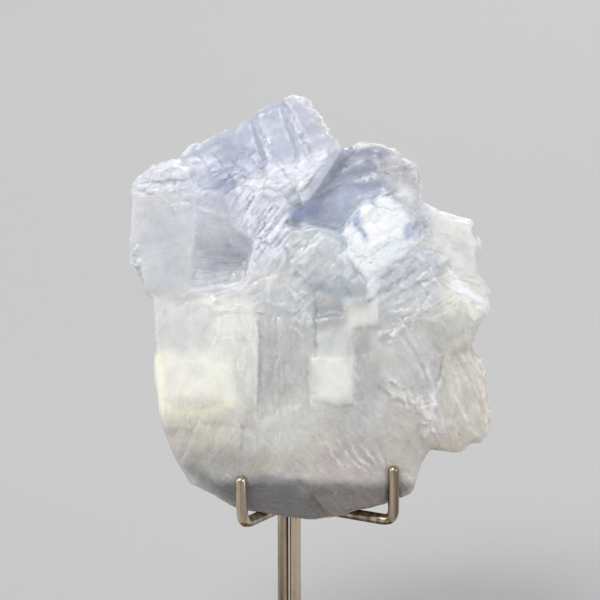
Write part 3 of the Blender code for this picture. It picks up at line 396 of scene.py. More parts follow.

# Lines that stand out on the front: step edges, ridges, gaps and fibres. The dark lines in steps, edges and
# gaps are painted shadow, and the light rims beside the steps are painted highlight.
SEAMS = (
    # Painted shadow and highlight: each peak step is darkened along its line and lightened along its rim.
    Seam("peak left step", 0.3, -0.1, -0.12, (-89, 1068, -79, 1037, -63, 995, -50, 958, -42, 929)),
    Seam("peak left step rim", 0.35, 0.24, 0.15, (-97, 1063, -87, 1032, -71, 989, -58, 953)),
    Seam("peak right step", 0.3, -0.12, -0.12, (-13, 1095, 3, 1071, 21, 1037, 37, 997, 45, 966)),
    Seam("peak right step rim", 0.35, 0.24, 0.15, (-3, 1097, 13, 1074, 32, 1039, 47, 1000)),
    Seam("peak cross step", 0.35, -0.06, -0.05, (-79, 1050, -50, 1055, -21, 1045, -3, 1024)),
    Seam("peak cross rim", 0.35, 0.08, 0.05, (-71, 1058, -45, 1063, -16, 1053)),
    Seam("slab border", 0.4, -0.1, -0.12, (108, 953, 76, 913, 45, 868, 24, 837, -3, 803)),
    Seam("slab border rim", 0.5, 0.2, 0.2, (97, 961, 66, 921, 34, 876, 11, 842)),
    Seam("window top", 0.45, -0.18, -0.15, (5, 813, 42, 832, 82, 847, 121, 868, 166, 887)),
    Seam("window top rim", 0.35, 0.14, 0.1, (18, 829, 55, 845, 92, 863, 129, 882)),
    Seam("window foot", 0.4, -0.08, -0.1, (-3, 784, 39, 782, 82, 774, 150, 774)),
    Seam("block edge", 0.5, -0.2, -0.2, (-78, 518, -76, 458, -76, 392, -79, 308)),
    Seam("block edge rim", 0.5, 0.1, 0.15, (-86, 529, -84, 458, -84, 392, -87, 308)),
    Seam("block heel", 0.5, -0.07, -0.1, (-87, 250, -129, 247, -176, 253, -221, 258)),
    Seam("blue line", 0.5, -0.2, -0.2, (68, 595, 70, 511, 68, 426)),
    Seam("small column left", 0.4, 0.12, 0.1, (63, 418, 61, 366, 66, 316)),
    Seam("small column foot line", 0.45, -0.16, -0.2, (66, 313, 97, 305, 126, 300, 166, 305)),
    Seam("small column waist", 0.4, 0.08, 0.15, (61, 422, 108, 421, 166, 422)),
    Seam("small column inner", 0.35, 0.06, 0, (76, 403, 147, 405, 150, 326, 82, 334, 76, 403)),
    Seam("lower centre edge", 0.45, -0.14, -0.15, (-122, 253, -124, 218, -121, 184)),
    Seam("cream block top", 0.4, 0.1, 0.1, (129, 542, 155, 574, 229, 579)),
    Seam("cream block right", 0.5, -0.14, -0.2, (234, 576, 237, 539, 234, 503, 176, 500)),
    Seam("wedge white edge", 0.35, 0.14, 0.18, (234, 363, 255, 345, 276, 332, 300, 321, 321, 311, 347, 308,
         374, 318, 387, 339, 397, 363)),
    Seam("wedge under edge", 0.5, -0.1, -0.2, (234, 350, 255, 334, 276, 318, 300, 308, 318, 300)),
    Seam("lower white edge", 0.35, 0.12, 0.18, (324, 311, 353, 295, 358, 266, 363, 234, 387, 232, 413, 232)),
    Seam("lower white fleck", 0.35, 0.16, 0.2, (400, 271, 403, 239, 411, 232)),
    Seam("dark slit", 0.45, -0.3, -0.4, (397, 426, 395, 403, 389, 368)),
    Seam("groove line", 0.45, -0.22, -0.3, (211, 571, 232, 587, 266, 613, 292, 629, 326, 647)),
    Seam("groove line rim", 0.4, 0.16, 0.15, (218, 561, 242, 579, 274, 603, 303, 618)),
    Seam("groove second line", 0.4, -0.14, -0.2, (326, 618, 358, 626, 387, 637, 416, 653)),
    Seam("groove streak", 0.4, 0.2, 0.15, (345, 611, 382, 626, 416, 642)),
    Seam("ledge ridge", 0.9, 0.25, 0.5, (421, 650, 439, 629, 458, 605, 484, 584, 518, 566)),
    Seam("ledge ridge shade", 0.7, -0.08, -0.2, (413, 629, 432, 603, 455, 579, 487, 561)),
    Seam("patch gash", 0.6, -0.14, -0.25, (171, 782, 182, 763, 195, 747, 208, 734)),
    Seam("patch second gash", 0.4, -0.1, -0.2, (205, 726, 213, 708, 218, 689)),
    Seam("patch curve", 0.35, -0.1, -0.1, (224, 708, 250, 703, 276, 703, 300, 711)),
    Seam("patch notch", 0.4, -0.16, -0.3, (234, 832, 237, 816, 232, 803)),
    Seam("patch right gash", 0.6, -0.2, -0.3, (326, 766, 337, 750, 329, 734)),
    Seam("patch spur", 0.6, 0.3, 0.3, (332, 718, 347, 734, 355, 745)),
    Seam("mauve spot", 0.8, -0.14, -0.2, (334, 771, 345, 779, 358, 782)),
    Seam("band line", 0.4, -0.12, -0.15, (-113, 611, -82, 629, -37, 642, 13, 661)),
    Seam("band light", 0.5, 0.12, 0.15, (-124, 592, -71, 618, -11, 647, 37, 676, 66, 703)),
    Seam("band second line", 0.4, -0.08, -0.1, (-97, 587, -55, 608, -8, 626)),
    Seam("feather gap", 0.45, -0.2, -0.3, (-111, 826, -100, 845, -89, 861)),
    Seam("feather gap", 0.5, -0.22, -0.35, (-97, 800, -84, 824, -68, 847)),
    Seam("feather gap", 0.45, -0.22, -0.35, (-89, 763, -68, 789, -42, 816)),
    Seam("feather gap", 0.45, -0.2, -0.3, (-61, 753, -39, 779, -13, 808)),
    Seam("feather gap", 0.4, -0.16, -0.25, (-103, 734, -82, 755, -61, 774)),
    Seam("feather gap", 0.35, -0.14, -0.2, (-32, 734, -16, 761, -5, 787)),
    Seam("feather ridge", 0.45, 0.2, 0.3, (-105, 816, -89, 842, -71, 868)),
    Seam("feather ridge", 0.45, 0.22, 0.35, (-92, 782, -71, 811, -50, 839)),
    Seam("feather ridge", 0.4, 0.2, 0.3, (-76, 766, -53, 795, -26, 824)),
    Seam("feather ridge", 0.4, 0.22, 0.3, (-55, 739, -32, 766, -5, 797)),
    Seam("feather ridge", 0.35, 0.18, 0.25, (-87, 734, -66, 758, -47, 776)),
    Seam("feather ridge", 0.4, 0.18, 0.25, (-71, 713, -45, 739, -24, 758)),
    Seam("short stroke", 0.4, 0.24, 0.25, (26, 697, 34, 713, 42, 729)),
    Seam("short stroke", 0.35, 0.2, 0.2, (39, 692, 47, 708, 55, 721)),
    Seam("short stroke", 0.4, 0.24, 0.25, (61, 697, 68, 713, 79, 729)),
    Seam("short stroke", 0.35, 0.18, 0.2, (74, 689, 82, 705, 89, 718)),
    Seam("dark fleck", 0.7, -0.18, -0.2, (0, 747, 13, 750)),
    Seam("facet line", 0.3, -0.1, -0.06, (-216, 718, -176, 721, -139, 718)),
    Seam("facet line", 0.3, -0.12, -0.06, (-218, 697, -176, 697, -129, 692)),
    Seam("facet line", 0.3, -0.1, -0.06, (-211, 676, -171, 676, -129, 671)),
    Seam("facet lines", 0.3, 0.08, 0.05, (-203, 708, -161, 708, -121, 705), (-208, 687, -166, 687, -129,
         682)),
    Seam("facet lower rim", 0.35, 0.06, 0.03, (-245, 618, -213, 639, -176, 647, -134, 650)),
    Seam("crown ridges", 0.35, 0.16, 0.2, (-405, 882, -366, 874, -329, 845, -295, 811), (-376, 892, -339, 889,
         -303, 871, -271, 845)),
    Seam("crown ridge", 0.35, 0.14, 0.2, (-366, 903, -324, 905, -282, 892)),
    Seam("rubble streak", 0.35, 0.18, 0.2, (-253, 824, -216, 808, -176, 797)),
    Seam("rubble streaks", 0.35, 0.12, 0.15, (-266, 913, -224, 924, -176, 950), (-245, 861, -203, 882, -166,
         897)),
    Seam("rubble gap", 0.4, -0.12, -0.2, (-218, 850, -182, 874, -150, 903)),
    Seam("peak foot gap", 0.4, -0.2, -0.25, (-32, 934, -13, 908, 8, 887)),
    Seam("peak foot gap", 0.35, -0.16, -0.2, (-71, 903, -45, 892, -24, 876)),
    Seam("peak foot gap", 0.35, -0.14, -0.2, (18, 924, 37, 903, 55, 892)),
    Seam("wedge fibres", 0.35, 0.09, 0.08, (289, 479, 318, 434, 345, 382), (318, 479, 347, 429, 368, 371)),
    Seam("wedge fibre", 0.4, 0.35, 0.2, (358, 397, 371, 366, 379, 339)),
    Seam("wedge fibre", 0.3, -0.07, -0.06, (305, 474, 332, 429, 358, 376)),
    Seam("fan fibres", 0.35, 0.1, 0.12, (413, 434, 439, 366, 458, 292, 471, 234), (424, 439, 466, 366, 495,
         292, 511, 239)),
    Seam("fan fibre", 0.35, 0.09, 0.1, (411, 424, 421, 350, 429, 271)),
    Seam("fan fibre", 0.35, 0.1, 0.1, (437, 445, 482, 387, 513, 324)),
    Seam("fan fibres", 0.35, -0.08, -0.1, (418, 429, 445, 355, 466, 282), (429, 439, 476, 361, 503, 297)),
    Seam("fan fleck", 0.6, 0.14, 0.1, (437, 382, 450, 371)),
    Seam("rose fibres", 0.36, 0.15, 0.22, (147, 179, 166, 158, 187, 139), (166, 184, 189, 161, 211, 142),
         (203, 182, 216, 163, 232, 147), (221, 189, 232, 168, 242, 147), (108, 176, 129, 155, 150, 129), (97,
         208, 118, 168, 139, 129), (124, 213, 147, 176, 161, 139), (161, 203, 182, 171, 197, 145), (192, 200,
         213, 168, 234, 134), (224, 197, 239, 166, 250, 139)),
    Seam("head fleck", 0.45, 0.22, 0.25, (13, 534, 29, 518, 47, 508)),
    Seam("head flecks", 0.4, 0.2, 0.22, (3, 508, 24, 495, 39, 476), (34, 555, 50, 534, 58, 513)),
    Seam("head fleck", 0.4, 0.16, 0.2, (-55, 571, -34, 561, -8, 566)),
    Seam("ledge fleck", 0.4, 0.25, 0.25, (268, 482, 287, 497, 303, 508)),
    Seam("ledge fleck", 0.35, 0.25, 0.22, (261, 466, 282, 476)),
    Seam("fan fleck", 0.4, 0.25, 0.2, (476, 245, 487, 229, 503, 218)),
    Seam("fan fleck", 0.4, 0.16, 0.15, (429, 324, 450, 292, 466, 261)),
    Seam("facet arcs", 0.4, 0.1, 0.06, (-224, 676, -192, 661, -155, 666, -118, 687), (-234, 761, -203, 771,
         -166, 761, -134, 745)),
    Seam("patch lines", 0.35, -0.06, -0.12, (187, 703, 218, 718, 255, 718, 287, 734), (203, 797, 216, 771,
         218, 745)),
    Seam("window line", 0.3, 0.14, 0.05, (18, 803, 61, 824, 108, 839, 161, 855)),
    Seam("window line", 0.3, -0.1, -0.05, (29, 792, 82, 808, 129, 818)),
    Seam("window line", 0.3, 0.1, 0.05, (55, 782, 108, 797, 145, 797)),
    Seam("face stroke", 0.35, 0.13, 0.06, (76, 876, 118, 903, 166, 924, 218, 934)),
    Seam("face stroke", 0.35, 0.1, 0.06, (87, 903, 134, 929, 187, 950)),
    Seam("face stroke", 0.35, 0.13, 0.08, (97, 861, 145, 876, 203, 892, 239, 918)),
    # Painted glow: both sides of the front are lightened as though light shone through their thin rims.
    Seam("rim left", 0.8, 0.12, 0, (-416, 850, -416, 774, -384, 676, -361, 587, -353, 439, -345, 313, -313,
         208)),
    Seam("rim right", 0.8, 0.14, 0, (500, 782, 511, 713, 521, 603, 508, 497, 492, 458, 518, 387, 534, 287,
         524, 229)),
    Seam("foot border", 0.4, -0.08, -0.1, (29, 103, 50, 71, 82, 29, 108, 8)),
)


def srgb_to_linear(colour: Rgb | np.ndarray) -> np.ndarray:
    """A colour as the eye sees it, 0 to 255, turned to linear light."""
    share = np.asarray(colour, dtype=float) / 255.0
    return np.where(share <= 0.04045, share / 12.92, ((share + 0.055) / 1.055) ** 2.4)


def smooth_step(low: float, high: float, value: np.ndarray) -> np.ndarray:
    """A smooth ramp from 0 at low to 1 at high."""
    share = np.clip((value - low) / (high - low), 0.0, 1.0)
    return share * share * (3.0 - 2.0 * share)


@dataclass(frozen=True)
class SolidNoise:
    """Smooth three-dimensional noise, the same on every run.

    Attributes:
        seed: Which noise this is.
    """

    seed: int = 3

    def lattice(self, cells: np.ndarray) -> np.ndarray:
        """A value from -1 to 1 for each whole-numbered cell.

        Args:
            cells: Integer cell coordinates, one cell a row.

        Returns:
            One value a cell.
        """
        mixed = (cells[..., 0] * 374761393 + cells[..., 1] * 668265263 + cells[..., 2] * 2147483647
                 + self.seed * 974634777) & 0xFFFFFFFF
        mixed = ((mixed ^ (mixed >> 13)) * 1274126177) & 0xFFFFFFFF
        mixed = (mixed ^ (mixed >> 16)) & 0xFFFF
        return mixed / 32767.5 - 1.0

    def at(self, points: np.ndarray, size: float) -> np.ndarray:
        """The noise at each point.

        Args:
            points: Points, one a row.
            size: How large its features are, in the points' own unit.

        Returns:
            One value from -1 to 1 a point.
        """
        scaled = points / size
        low = np.floor(scaled).astype(np.int64)
        part = scaled - low
        part = part * part * (3.0 - 2.0 * part)
        total = np.zeros(len(points))
        for i in (0, 1):
            for j in (0, 1):
                for k in (0, 1):
                    weight = (np.abs(1 - i - part[:, 0]) * np.abs(1 - j - part[:, 1])
                              * np.abs(1 - k - part[:, 2]))
                    total += weight * self.lattice(low + np.array((i, j, k)))
        return total

    def layered(self, points: np.ndarray, size: float, layers: int = 3) -> np.ndarray:
        """Several layers of the noise, each half the size and strength of the one before.

        Args:
            points: Points, one a row.
            size: How large the first layer's features are.
            layers: How many layers there are.

        Returns:
            One value a point, about -1 to 1.
        """
        total = np.zeros(len(points))
        for layer in range(layers):
            shifted = SolidNoise(self.seed + 17 * layer)
            total += shifted.at(points, size / 2 ** layer) / 2 ** layer
        return total / (2.0 - 2.0 ** (1 - layers))


def corners_mm(course: Course) -> np.ndarray:
    """A course's corners in millimetres, one a row as (x, z)."""
    return np.array(course, dtype=float).reshape(-1, 2) / 10.0


def line_distance(points: np.ndarray, line: Course) -> np.ndarray:
    """How far each point lies from an open line.

    Args:
        points: Points as (x, z), one a row.
        line: The line's course.

    Returns:
        One distance a point.
    """
    nearest = np.full(len(points), 1e9)
    corners = corners_mm(line)
    for start, end in zip(corners, corners[1:]):
        run = end - start
        offset = points - start
        share = np.clip(offset @ run / (run @ run), 0.0, 1.0)
        nearest = np.minimum(nearest, np.linalg.norm(offset - share[:, None] * run, axis=1))
    return nearest


def inside_distance(points: np.ndarray, outline: Course) -> np.ndarray:
    """How far each point lies inside an outline, and as a negative number how far outside.

    Args:
        points: Points as (x, z), one a row.
        outline: The outline's course.

    Returns:
        One signed distance a point.
    """
    nearest = np.full(len(points), 1e9)
    inside = np.zeros(len(points), dtype=bool)
    corners = corners_mm(outline)
    for start, end in zip(corners, np.roll(corners, -1, axis=0)):
        run = end - start
        offset = points - start
        share = np.clip(offset @ run / (run @ run), 0.0, 1.0)
        nearest = np.minimum(nearest, np.linalg.norm(offset - share[:, None] * run, axis=1))
        crosses = (start[1] > points[:, 1]) != (end[1] > points[:, 1])
        if run[1] != 0:
            inside ^= crosses & (offset[:, 0] < run[0] * offset[:, 1] / run[1])
    return np.where(inside, nearest, -nearest)


class Graph:
    """A node tree being wired, where a socket and a plain value go in the same way."""

    def __init__(self, tree: bpy.types.NodeTree) -> None:
        """Keeps the tree that the nodes go into."""
        self.tree = tree

    def node(self, kind: str, sockets: dict | None = None, **settings: object) -> bpy.types.Node:
        """Adds a node.

        Args:
            kind: Blender's name for the node.
            sockets: What goes into each input, by its name or its number.
            settings: The node's own options.

        Returns:
            The new node.
        """
        node = self.tree.nodes.new(kind)
        for name, value in settings.items():
            setattr(node, name, value)
        for key, value in (sockets or {}).items():
            self.feed(node.inputs[key], value)
        return node

    def feed(self, socket: bpy.types.NodeSocket, value: object) -> None:
        """Links a socket to this one, or sets its plain value.

        Args:
            socket: The input.
            value: Another node's output, or a plain value.
        """
        if isinstance(value, bpy.types.NodeSocket):
            self.tree.links.new(value, socket)
        else:
            socket.default_value = value

    def math(self, operation: str, first: object, second: object = 0.0) -> object:
        """A math node's result."""
        return self.node("ShaderNodeMath", {0: first, 1: second}, operation=operation).outputs[0]

    def vector(self, operation: str, first: object, second: object = (0.0, 0.0, 0.0)) -> object:
        """A vector math node's result.

        Args:
            operation: Blender's name for it.
            first: The first vector.
            second: The second vector, or the factor of a SCALE.

        Returns:
            The output with the vector, or with the number of a dot product or a length.
        """
        key = "Scale" if operation == "SCALE" else 1
        node = self.node("ShaderNodeVectorMath", {0: first, key: second}, operation=operation)
        return node.outputs["Value" if operation in ("DOT_PRODUCT", "LENGTH") else "Vector"]

    def spread(self, value: object, low: float, high: float,
               to_low: float = 0.0, to_high: float = 1.0) -> object:
        """A value's range stretched to another, without leaving it."""
        ends = {0: value, 1: low, 2: high, 3: to_low, 4: to_high}
        return self.node("ShaderNodeMapRange", ends, clamp=True).outputs[0]

    def product(self, *factors: object) -> object:
        """Several values multiplied.

        Args:
            factors: The values, as sockets or numbers.

        Returns:
            The output with their product.
        """
        total = factors[0]
        for factor in factors[1:]:
            total = self.math("MULTIPLY", total, factor)
        return total

    def total(self, *parts: object) -> object:
        """Several values added up.

        Args:
            parts: The values, as sockets or numbers.

        Returns:
            The output with their sum.
        """
        total = parts[0]
        for part in parts[1:]:
            total = self.math("ADD", total, part)
        return total

    def stretched(self, place: object, stretch: Rgb) -> object:
        """A place multiplied along each axis, so that a texture on it runs long or fine."""
        return self.vector("MULTIPLY", place, stretch)

    def blend(self, share: object, first: object, second: object) -> object:
        """Two colours mixed by a share."""
        return self.node("ShaderNodeMix", {0: share, 6: first, 7: second}, data_type="RGBA").outputs[2]

    def attribute(self, name: str, output: str = "Fac") -> object:
        """What a material reads from an attribute of the mesh."""
        return self.node("ShaderNodeAttribute", attribute_name=name).outputs[output]

    def noise(self, place: object, scale: float, detail: float = 3.0, roughness: float = 0.55,
              distortion: float = 0.0) -> object:
        """A noise texture's value.

        Args:
            place: Where it is read.
            scale: How fine it is.
            detail: How many finer layers it has.
            roughness: How strong those are.
            distortion: How far it is warped.

        Returns:
            The output with the value, about 0 to 1.
        """
        node = self.node("ShaderNodeTexNoise", {"Vector": place, "Scale": scale, "Detail": detail,
                                                "Roughness": roughness, "Distortion": distortion})
        return node.outputs[0]


def material_graph(name: str) -> tuple[bpy.types.Material, Graph, bpy.types.Node]:
    """Starts a material with one Principled shader.

    Args:
        name: The material's name.

    Returns:
        The material, the graph of its tree and the shader.
    """
    material = bpy.data.materials.new(name)
    material.use_nodes = True
    material.node_tree.nodes.clear()
    graph = Graph(material.node_tree)
    shader = graph.node("ShaderNodeBsdfPrincipled")
    graph.node("ShaderNodeOutputMaterial", {"Surface": shader.outputs[0]})
    return material, graph, shader


@dataclass(frozen=True)
class CalciteFinish:
    """Milky calcite: light sinks in and comes back, under satin cleavage faces.

    Attributes:
        scatter_reach: How far light travels inside, in metres, for red, green and blue.
        scatter_scale: A factor on that reach.
        ior: The stone's refractive index.
        satin: The roughness of a clean cleavage face.
        frosted: The roughness of a crumbled face.
        coat: How much of a polished skin lies over it.
        coat_roughness: The roughness of that skin.
        crack_and_edge_highlight_white: The colour of healed cracks and worn edges, in linear light.
        crease_shade_colour: The colour that gathers in creases, in linear light.
        relief_depth: How deep the finest relief is, in metres.
    """

    scatter_reach: Rgb = (1.0, 0.96, 0.88)
    scatter_scale: float = 0.0030
    ior: float = 1.6
    satin: float = 0.29
    frosted: float = 0.62
    coat: float = 0.15
    coat_roughness: float = 0.2
    # healed: The colour of cracks that have grown shut, and of the painted highlight along convex edges, in
    # linear light.
    crack_and_edge_highlight_white: Rgb = (0.90, 0.92, 0.94)
    # crease: The colour of the painted shade in creases, in linear light.
    crease_shade_colour: Rgb = (0.36, 0.38, 0.45)
    relief_depth: float = 0.0004

    def material(self) -> bpy.types.Material:
        """Wires the stone's material, which reads the attributes that paint() writes.

        Returns:
            The finished material.
        """
        material, graph, shader = material_graph("milky_calcite")
        place = graph.node("ShaderNodeTexCoord").outputs["Object"]
        cleave = graph.attribute("cleave", "Vector")
        broken = graph.attribute("broken")
        facets = self.facets(graph, cleave)
        crack = self.healed_cracks(graph, place, cleave)
        curds = graph.noise(place, 260.0, 3.0, 0.6, 0.3)
        lines = graph.noise(graph.stretched(cleave, (0.12, 1.6, 0.8)), 1.0, 4.0, 0.6, 0.3)
        clusters = graph.spread(graph.noise(place, 130.0, 2.0, 0.5), 0.42, 0.62, 0.15, 1.0)

        shade = self.shade(graph, place, curds, lines, clusters)
        flash = graph.product(graph.spread(facets, 0.1, 1.3, -0.15, 0.15), broken)
        veiled = graph.vector("SCALE", graph.attribute("tint", "Color"), graph.total(shade, flash, 1.0))
        graph.feed(shader.inputs["Base Color"], self.whitened(graph, veiled, crack))

        polish = graph.spread(graph.noise(place, 350.0, 3.0, 0.5), 0.35, 0.65, -0.12, 0.12)
        rough = graph.spread(graph.attribute("frost"), 0.0, 0.8, self.satin, self.frosted)
        graph.feed(shader.inputs["Roughness"], graph.total(rough, polish))

        ribs = graph.product(lines, clusters, graph.spread(graph.attribute("lines"), 0.0, 1.0, 0.0, 0.8),
                             graph.attribute("inner"))
        grit = graph.noise(place, 1500.0, 3.0, 0.6)
        height = graph.total(ribs, graph.product(curds, 0.2), graph.product(grit, 0.12),
                             graph.product(facets, broken), graph.product(crack, 0.35))
        bump = graph.node("ShaderNodeBump", {
            "Strength": 0.85, "Distance": self.relief_depth, "Height": height})
        graph.feed(shader.inputs["Normal"], bump.outputs[0])

        shader.subsurface_method = "RANDOM_WALK"
        for socket, value in (("Coat Weight", self.coat), ("Coat Roughness", self.coat_roughness),
                              ("Subsurface Weight", 1.0), ("Subsurface Radius", self.scatter_reach),
                              ("Subsurface Scale", self.scatter_scale), ("IOR", self.ior)):
            shader.inputs[socket].default_value = value
        return material

    def facets(self, graph: Graph, cleave: object) -> object:
        """Tiny cleavage plates and finer slivers on them, each at its own level.

        Args:
            graph: The material's graph.
            cleave: The cleavage place.

        Returns:
            The output with the level, about 0 to 1.45.
        """
        levels = []
        for stretch in ((0.30, 1.15, 0.7), (0.75, 2.3, 1.5)):
            cells = graph.node("ShaderNodeTexVoronoi", {
                "Vector": graph.stretched(cleave, stretch), "Scale": 1.0, "Randomness": 1.0},
                feature="F1", distance="CHEBYCHEV")
            levels.append(graph.node("ShaderNodeSeparateColor", {0: cells.outputs["Color"]}).outputs[0])
        return graph.total(levels[0], graph.product(levels[1], 0.45))

    def healed_cracks(self, graph: Graph, place: object, cleave: object) -> object:
        """Fine cracks on the broken faces and wide ones where the cleavage is clear.

        Args:
            graph: The material's graph.
            place: The object place.
            cleave: The cleavage place.

        Returns:
            The output with a value from 0 away from a crack to 1 on it.
        """
        warp = graph.node("ShaderNodeTexNoise", {"Vector": place, "Scale": 260.0, "Detail": 2.0})
        warp = graph.vector("SUBTRACT", warp.outputs["Color"], (0.5, 0.5, 0.5))
        strayed = graph.vector("ADD", cleave, graph.vector("SCALE", warp, 1.6))
        fine = graph.product(
            self.cell_borders(graph, strayed, (0.20, 0.75, 0.5), 0.055),
            graph.spread(graph.noise(place, 170.0), 0.46, 0.60),
            graph.spread(graph.attribute("broken"), 0.1, 0.8, 0.08, 0.40))
        wide = graph.product(
            self.cell_borders(graph, strayed, (0.06, 0.22, 0.16), 0.022),
            graph.spread(graph.noise(place, 60.0), 0.46, 0.60, 0.0, 0.32),
            graph.spread(graph.attribute("lines"), 0.1, 0.7, 0.0, 1.0))
        unfrosted = graph.spread(graph.attribute("frost"), 0.3, 0.9, 1.0, 0.0)
        return graph.product(graph.math("MAXIMUM", fine, wide), graph.attribute("inner"), unfrosted)

    def cell_borders(self, graph: Graph, place: object, stretch: Rgb, width: float) -> object:
        """Thin lines along the borders of cells that follow the cleavage.

        Args:
            graph: The material's graph.
            place: The cleavage place.
            stretch: How many cells to a millimetre along each cleavage edge.
            width: Half the width of a line, as a share of a cell.

        Returns:
            The output with a value from 0 away from a line to 1 on it.
        """
        cells = graph.node("ShaderNodeTexVoronoi", {"Vector": graph.stretched(place, stretch), "Scale": 1.0},
                           feature="DISTANCE_TO_EDGE")
        return graph.spread(cells.outputs["Distance"], 0.0, width, 1.0, 0.0)

    def shade(self, graph: Graph, place: object, curds: object, lines: object, clusters: object) -> object:
        """How clouds, wisps, curds, specks and cleavage streaks lighten or darken the tint.

        Args:
            graph: The material's graph.
            place: The object place.
            curds: The curds' noise.
            lines: The cleavage lines' noise.
            clusters: Where those lines stand together, 0 to 1.

        Returns:
            The output with the change, about -0.3 to 0.3.
        """
        cloud = graph.noise(place, 95.0, 5.0, 0.6, 0.6)
        wisps = graph.noise(graph.stretched(place, (210.0, 210.0, 120.0)), 1.0, 5.0, 0.62, 0.9)
        speck = graph.noise(place, 900.0, 2.0, 0.6)
        streaks = graph.product(graph.spread(lines, 0.34, 0.66, -0.11, 0.11), graph.attribute("lines"),
                                clusters, graph.attribute("inner"))
        return graph.total(
            graph.spread(cloud, 0.3, 0.7, -0.07, 0.07), graph.spread(wisps, 0.35, 0.68, -0.06, 0.07),
            graph.spread(speck, 0.3, 0.7, -0.012, 0.012), graph.spread(curds, 0.3, 0.7, -0.035, 0.035),
            streaks)

    def whitened(self, graph: Graph, veiled: object, crack: object) -> object:
        """The tint with its cracks and frost whitened, a painted highlight along its convex edges and painted
        shade in its creases.

        Args:
            graph: The material's graph.
            veiled: The shaded tint.
            crack: How much of a crack there is, 0 to 1.

        Returns:
            The output with the colour.
        """
        edge = graph.attribute("edge")
        # Painted highlight: convex edges are whitened as though they caught the light.
        edge_highlight = graph.product(graph.spread(edge, 0.03, 0.5, 0.0, 0.55),
                             graph.spread(graph.attribute("broken"), 0.15, 0.7, 0.08, 1.0))
        brightening = graph.math("MAXIMUM", crack, edge_highlight)
        brightening = graph.math("MAXIMUM", brightening, graph.product(graph.attribute("frost"), 0.15))
        whitened = graph.blend(brightening, veiled, (*self.crack_and_edge_highlight_white, 1.0))
        # Painted shade: creases are darkened towards a dim blue-grey.
        crease_shade_share = graph.spread(edge, -0.5, -0.05, 0.12, 0.0)
        return graph.blend(crease_shade_share, whitened, (*self.crease_shade_colour, 1.0))


@dataclass(frozen=True)
class NickelFinish:
    """Warm polished nickel wire, with faint drawing lines, wear and tarnish, and light and dark streaks up
    the wire that are painted reflections.

    Attributes:
        colour: The metal's colour in linear light.
        bright: The colour of the light streaks up the wire, a painted reflection.
        tarnish_and_dark_reflection: The colour of its tarnished places, and of the dark streaks up the wire,
            a painted reflection.
        roughness: How polished it is.
    """

    colour: Rgb = (0.40, 0.325, 0.24)
    bright: Rgb = (0.66, 0.55, 0.42)
    tarnish_and_dark_reflection: Rgb = (0.15, 0.11, 0.075)
    roughness: float = 0.13

    def material(self, name: str, turned: bool) -> bpy.types.Material:
        """The finished metal.

        Args:
            name: The material's name.
            turned: Whether its fine lines run round the upright axis, as on a lathe, and not up the wire.

        Returns:
            The new material.
        """
        material, graph, shader = material_graph(name)
        place = graph.node("ShaderNodeTexCoord").outputs["Object"]
        stain = graph.spread(graph.noise(place, 140.0, 4.0, 0.65), 0.50, 0.76, 0.0, 0.16 if turned else 0.5)
        # Painted reflections: light and dark streaks up the wire, left out on the turned base.
        reflection_streaks = graph.noise(graph.vector("MULTIPLY", place, (620.0, 620.0, 14.0)), 1.0, 2.0, 0.5)
        light = graph.spread(reflection_streaks, 0.48, 0.60, 0.0, 0.0 if turned else 0.8)
        dark = graph.spread(reflection_streaks, 0.34, 0.46, 0.0 if turned else 0.75, 0.0)
        colour = graph.blend(light, (*self.colour, 1.0), (*self.bright, 1.0))
        colour = graph.blend(graph.math("MAXIMUM", stain, dark), colour, (*self.tarnish_and_dark_reflection, 1.0))
        graph.feed(shader.inputs["Base Color"], colour)
        if turned:
            flat = graph.vector("LENGTH", graph.vector("MULTIPLY", place, (1.0, 1.0, 0.0)))
            course = graph.node("ShaderNodeCombineXYZ", {0: graph.math("MULTIPLY", flat, 2600.0)}).outputs[0]
        else:
            course = graph.vector("MULTIPLY", place, (900.0, 900.0, 60.0))
        lines = graph.noise(course, 1.0, 3.0, 0.6)
        rough = graph.math("ADD", graph.spread(lines, 0.3, 0.7, -0.05, 0.09), self.roughness)
        graph.feed(shader.inputs["Roughness"], graph.math("ADD", rough, graph.math("MULTIPLY", stain, 0.2)))
        bump = graph.node("ShaderNodeBump", {"Strength": 0.12, "Distance": 0.0001, "Height": lines})
        graph.feed(shader.inputs["Normal"], bump.outputs[0])
        shader.inputs["Metallic"].default_value = 1.0
        return material


def new_object(name: str, mesh: bpy.types.Mesh) -> bpy.types.Object:
    """A mesh linked to the scene under a name.

    Args:
        name: The object's name.
        mesh: Its shape.

    Returns:
        The new object.
    """
    obj = bpy.data.objects.new(name, mesh)
    bpy.context.scene.collection.objects.link(obj)
    return obj


def baked(obj: bpy.types.Object) -> None:
    """Turns an object and its modifiers to a plain mesh, in place.

    Args:
        obj: The object.
    """
    graph = bpy.context.evaluated_depsgraph_get()
    mesh = bpy.data.meshes.new_from_object(obj.evaluated_get(graph))
    old = obj.data
    obj.modifiers.clear()
    obj.data = mesh
    bpy.data.meshes.remove(old)


def points_of(mesh: bpy.types.Mesh) -> np.ndarray:
    """A mesh's points, one a row.

    Args:
        mesh: The mesh.

    Returns:
        The points in the mesh's own metres.
    """
    flat = np.empty(len(mesh.vertices) * 3)
    mesh.vertices.foreach_get("co", flat)
    return flat.reshape(-1, 3)


def set_points(mesh: bpy.types.Mesh, points: np.ndarray) -> None:
    """Moves a mesh's points."""
    mesh.vertices.foreach_set("co", points.ravel())
    mesh.update()


def normals_of(mesh: bpy.types.Mesh) -> np.ndarray:
    """A mesh's point normals, one a row.

    Args:
        mesh: The mesh.

    Returns:
        The normals, each one long.
    """
    flat = np.empty(len(mesh.vertices) * 3)
    mesh.vertex_normals.foreach_get("vector", flat)
    return flat.reshape(-1, 3)


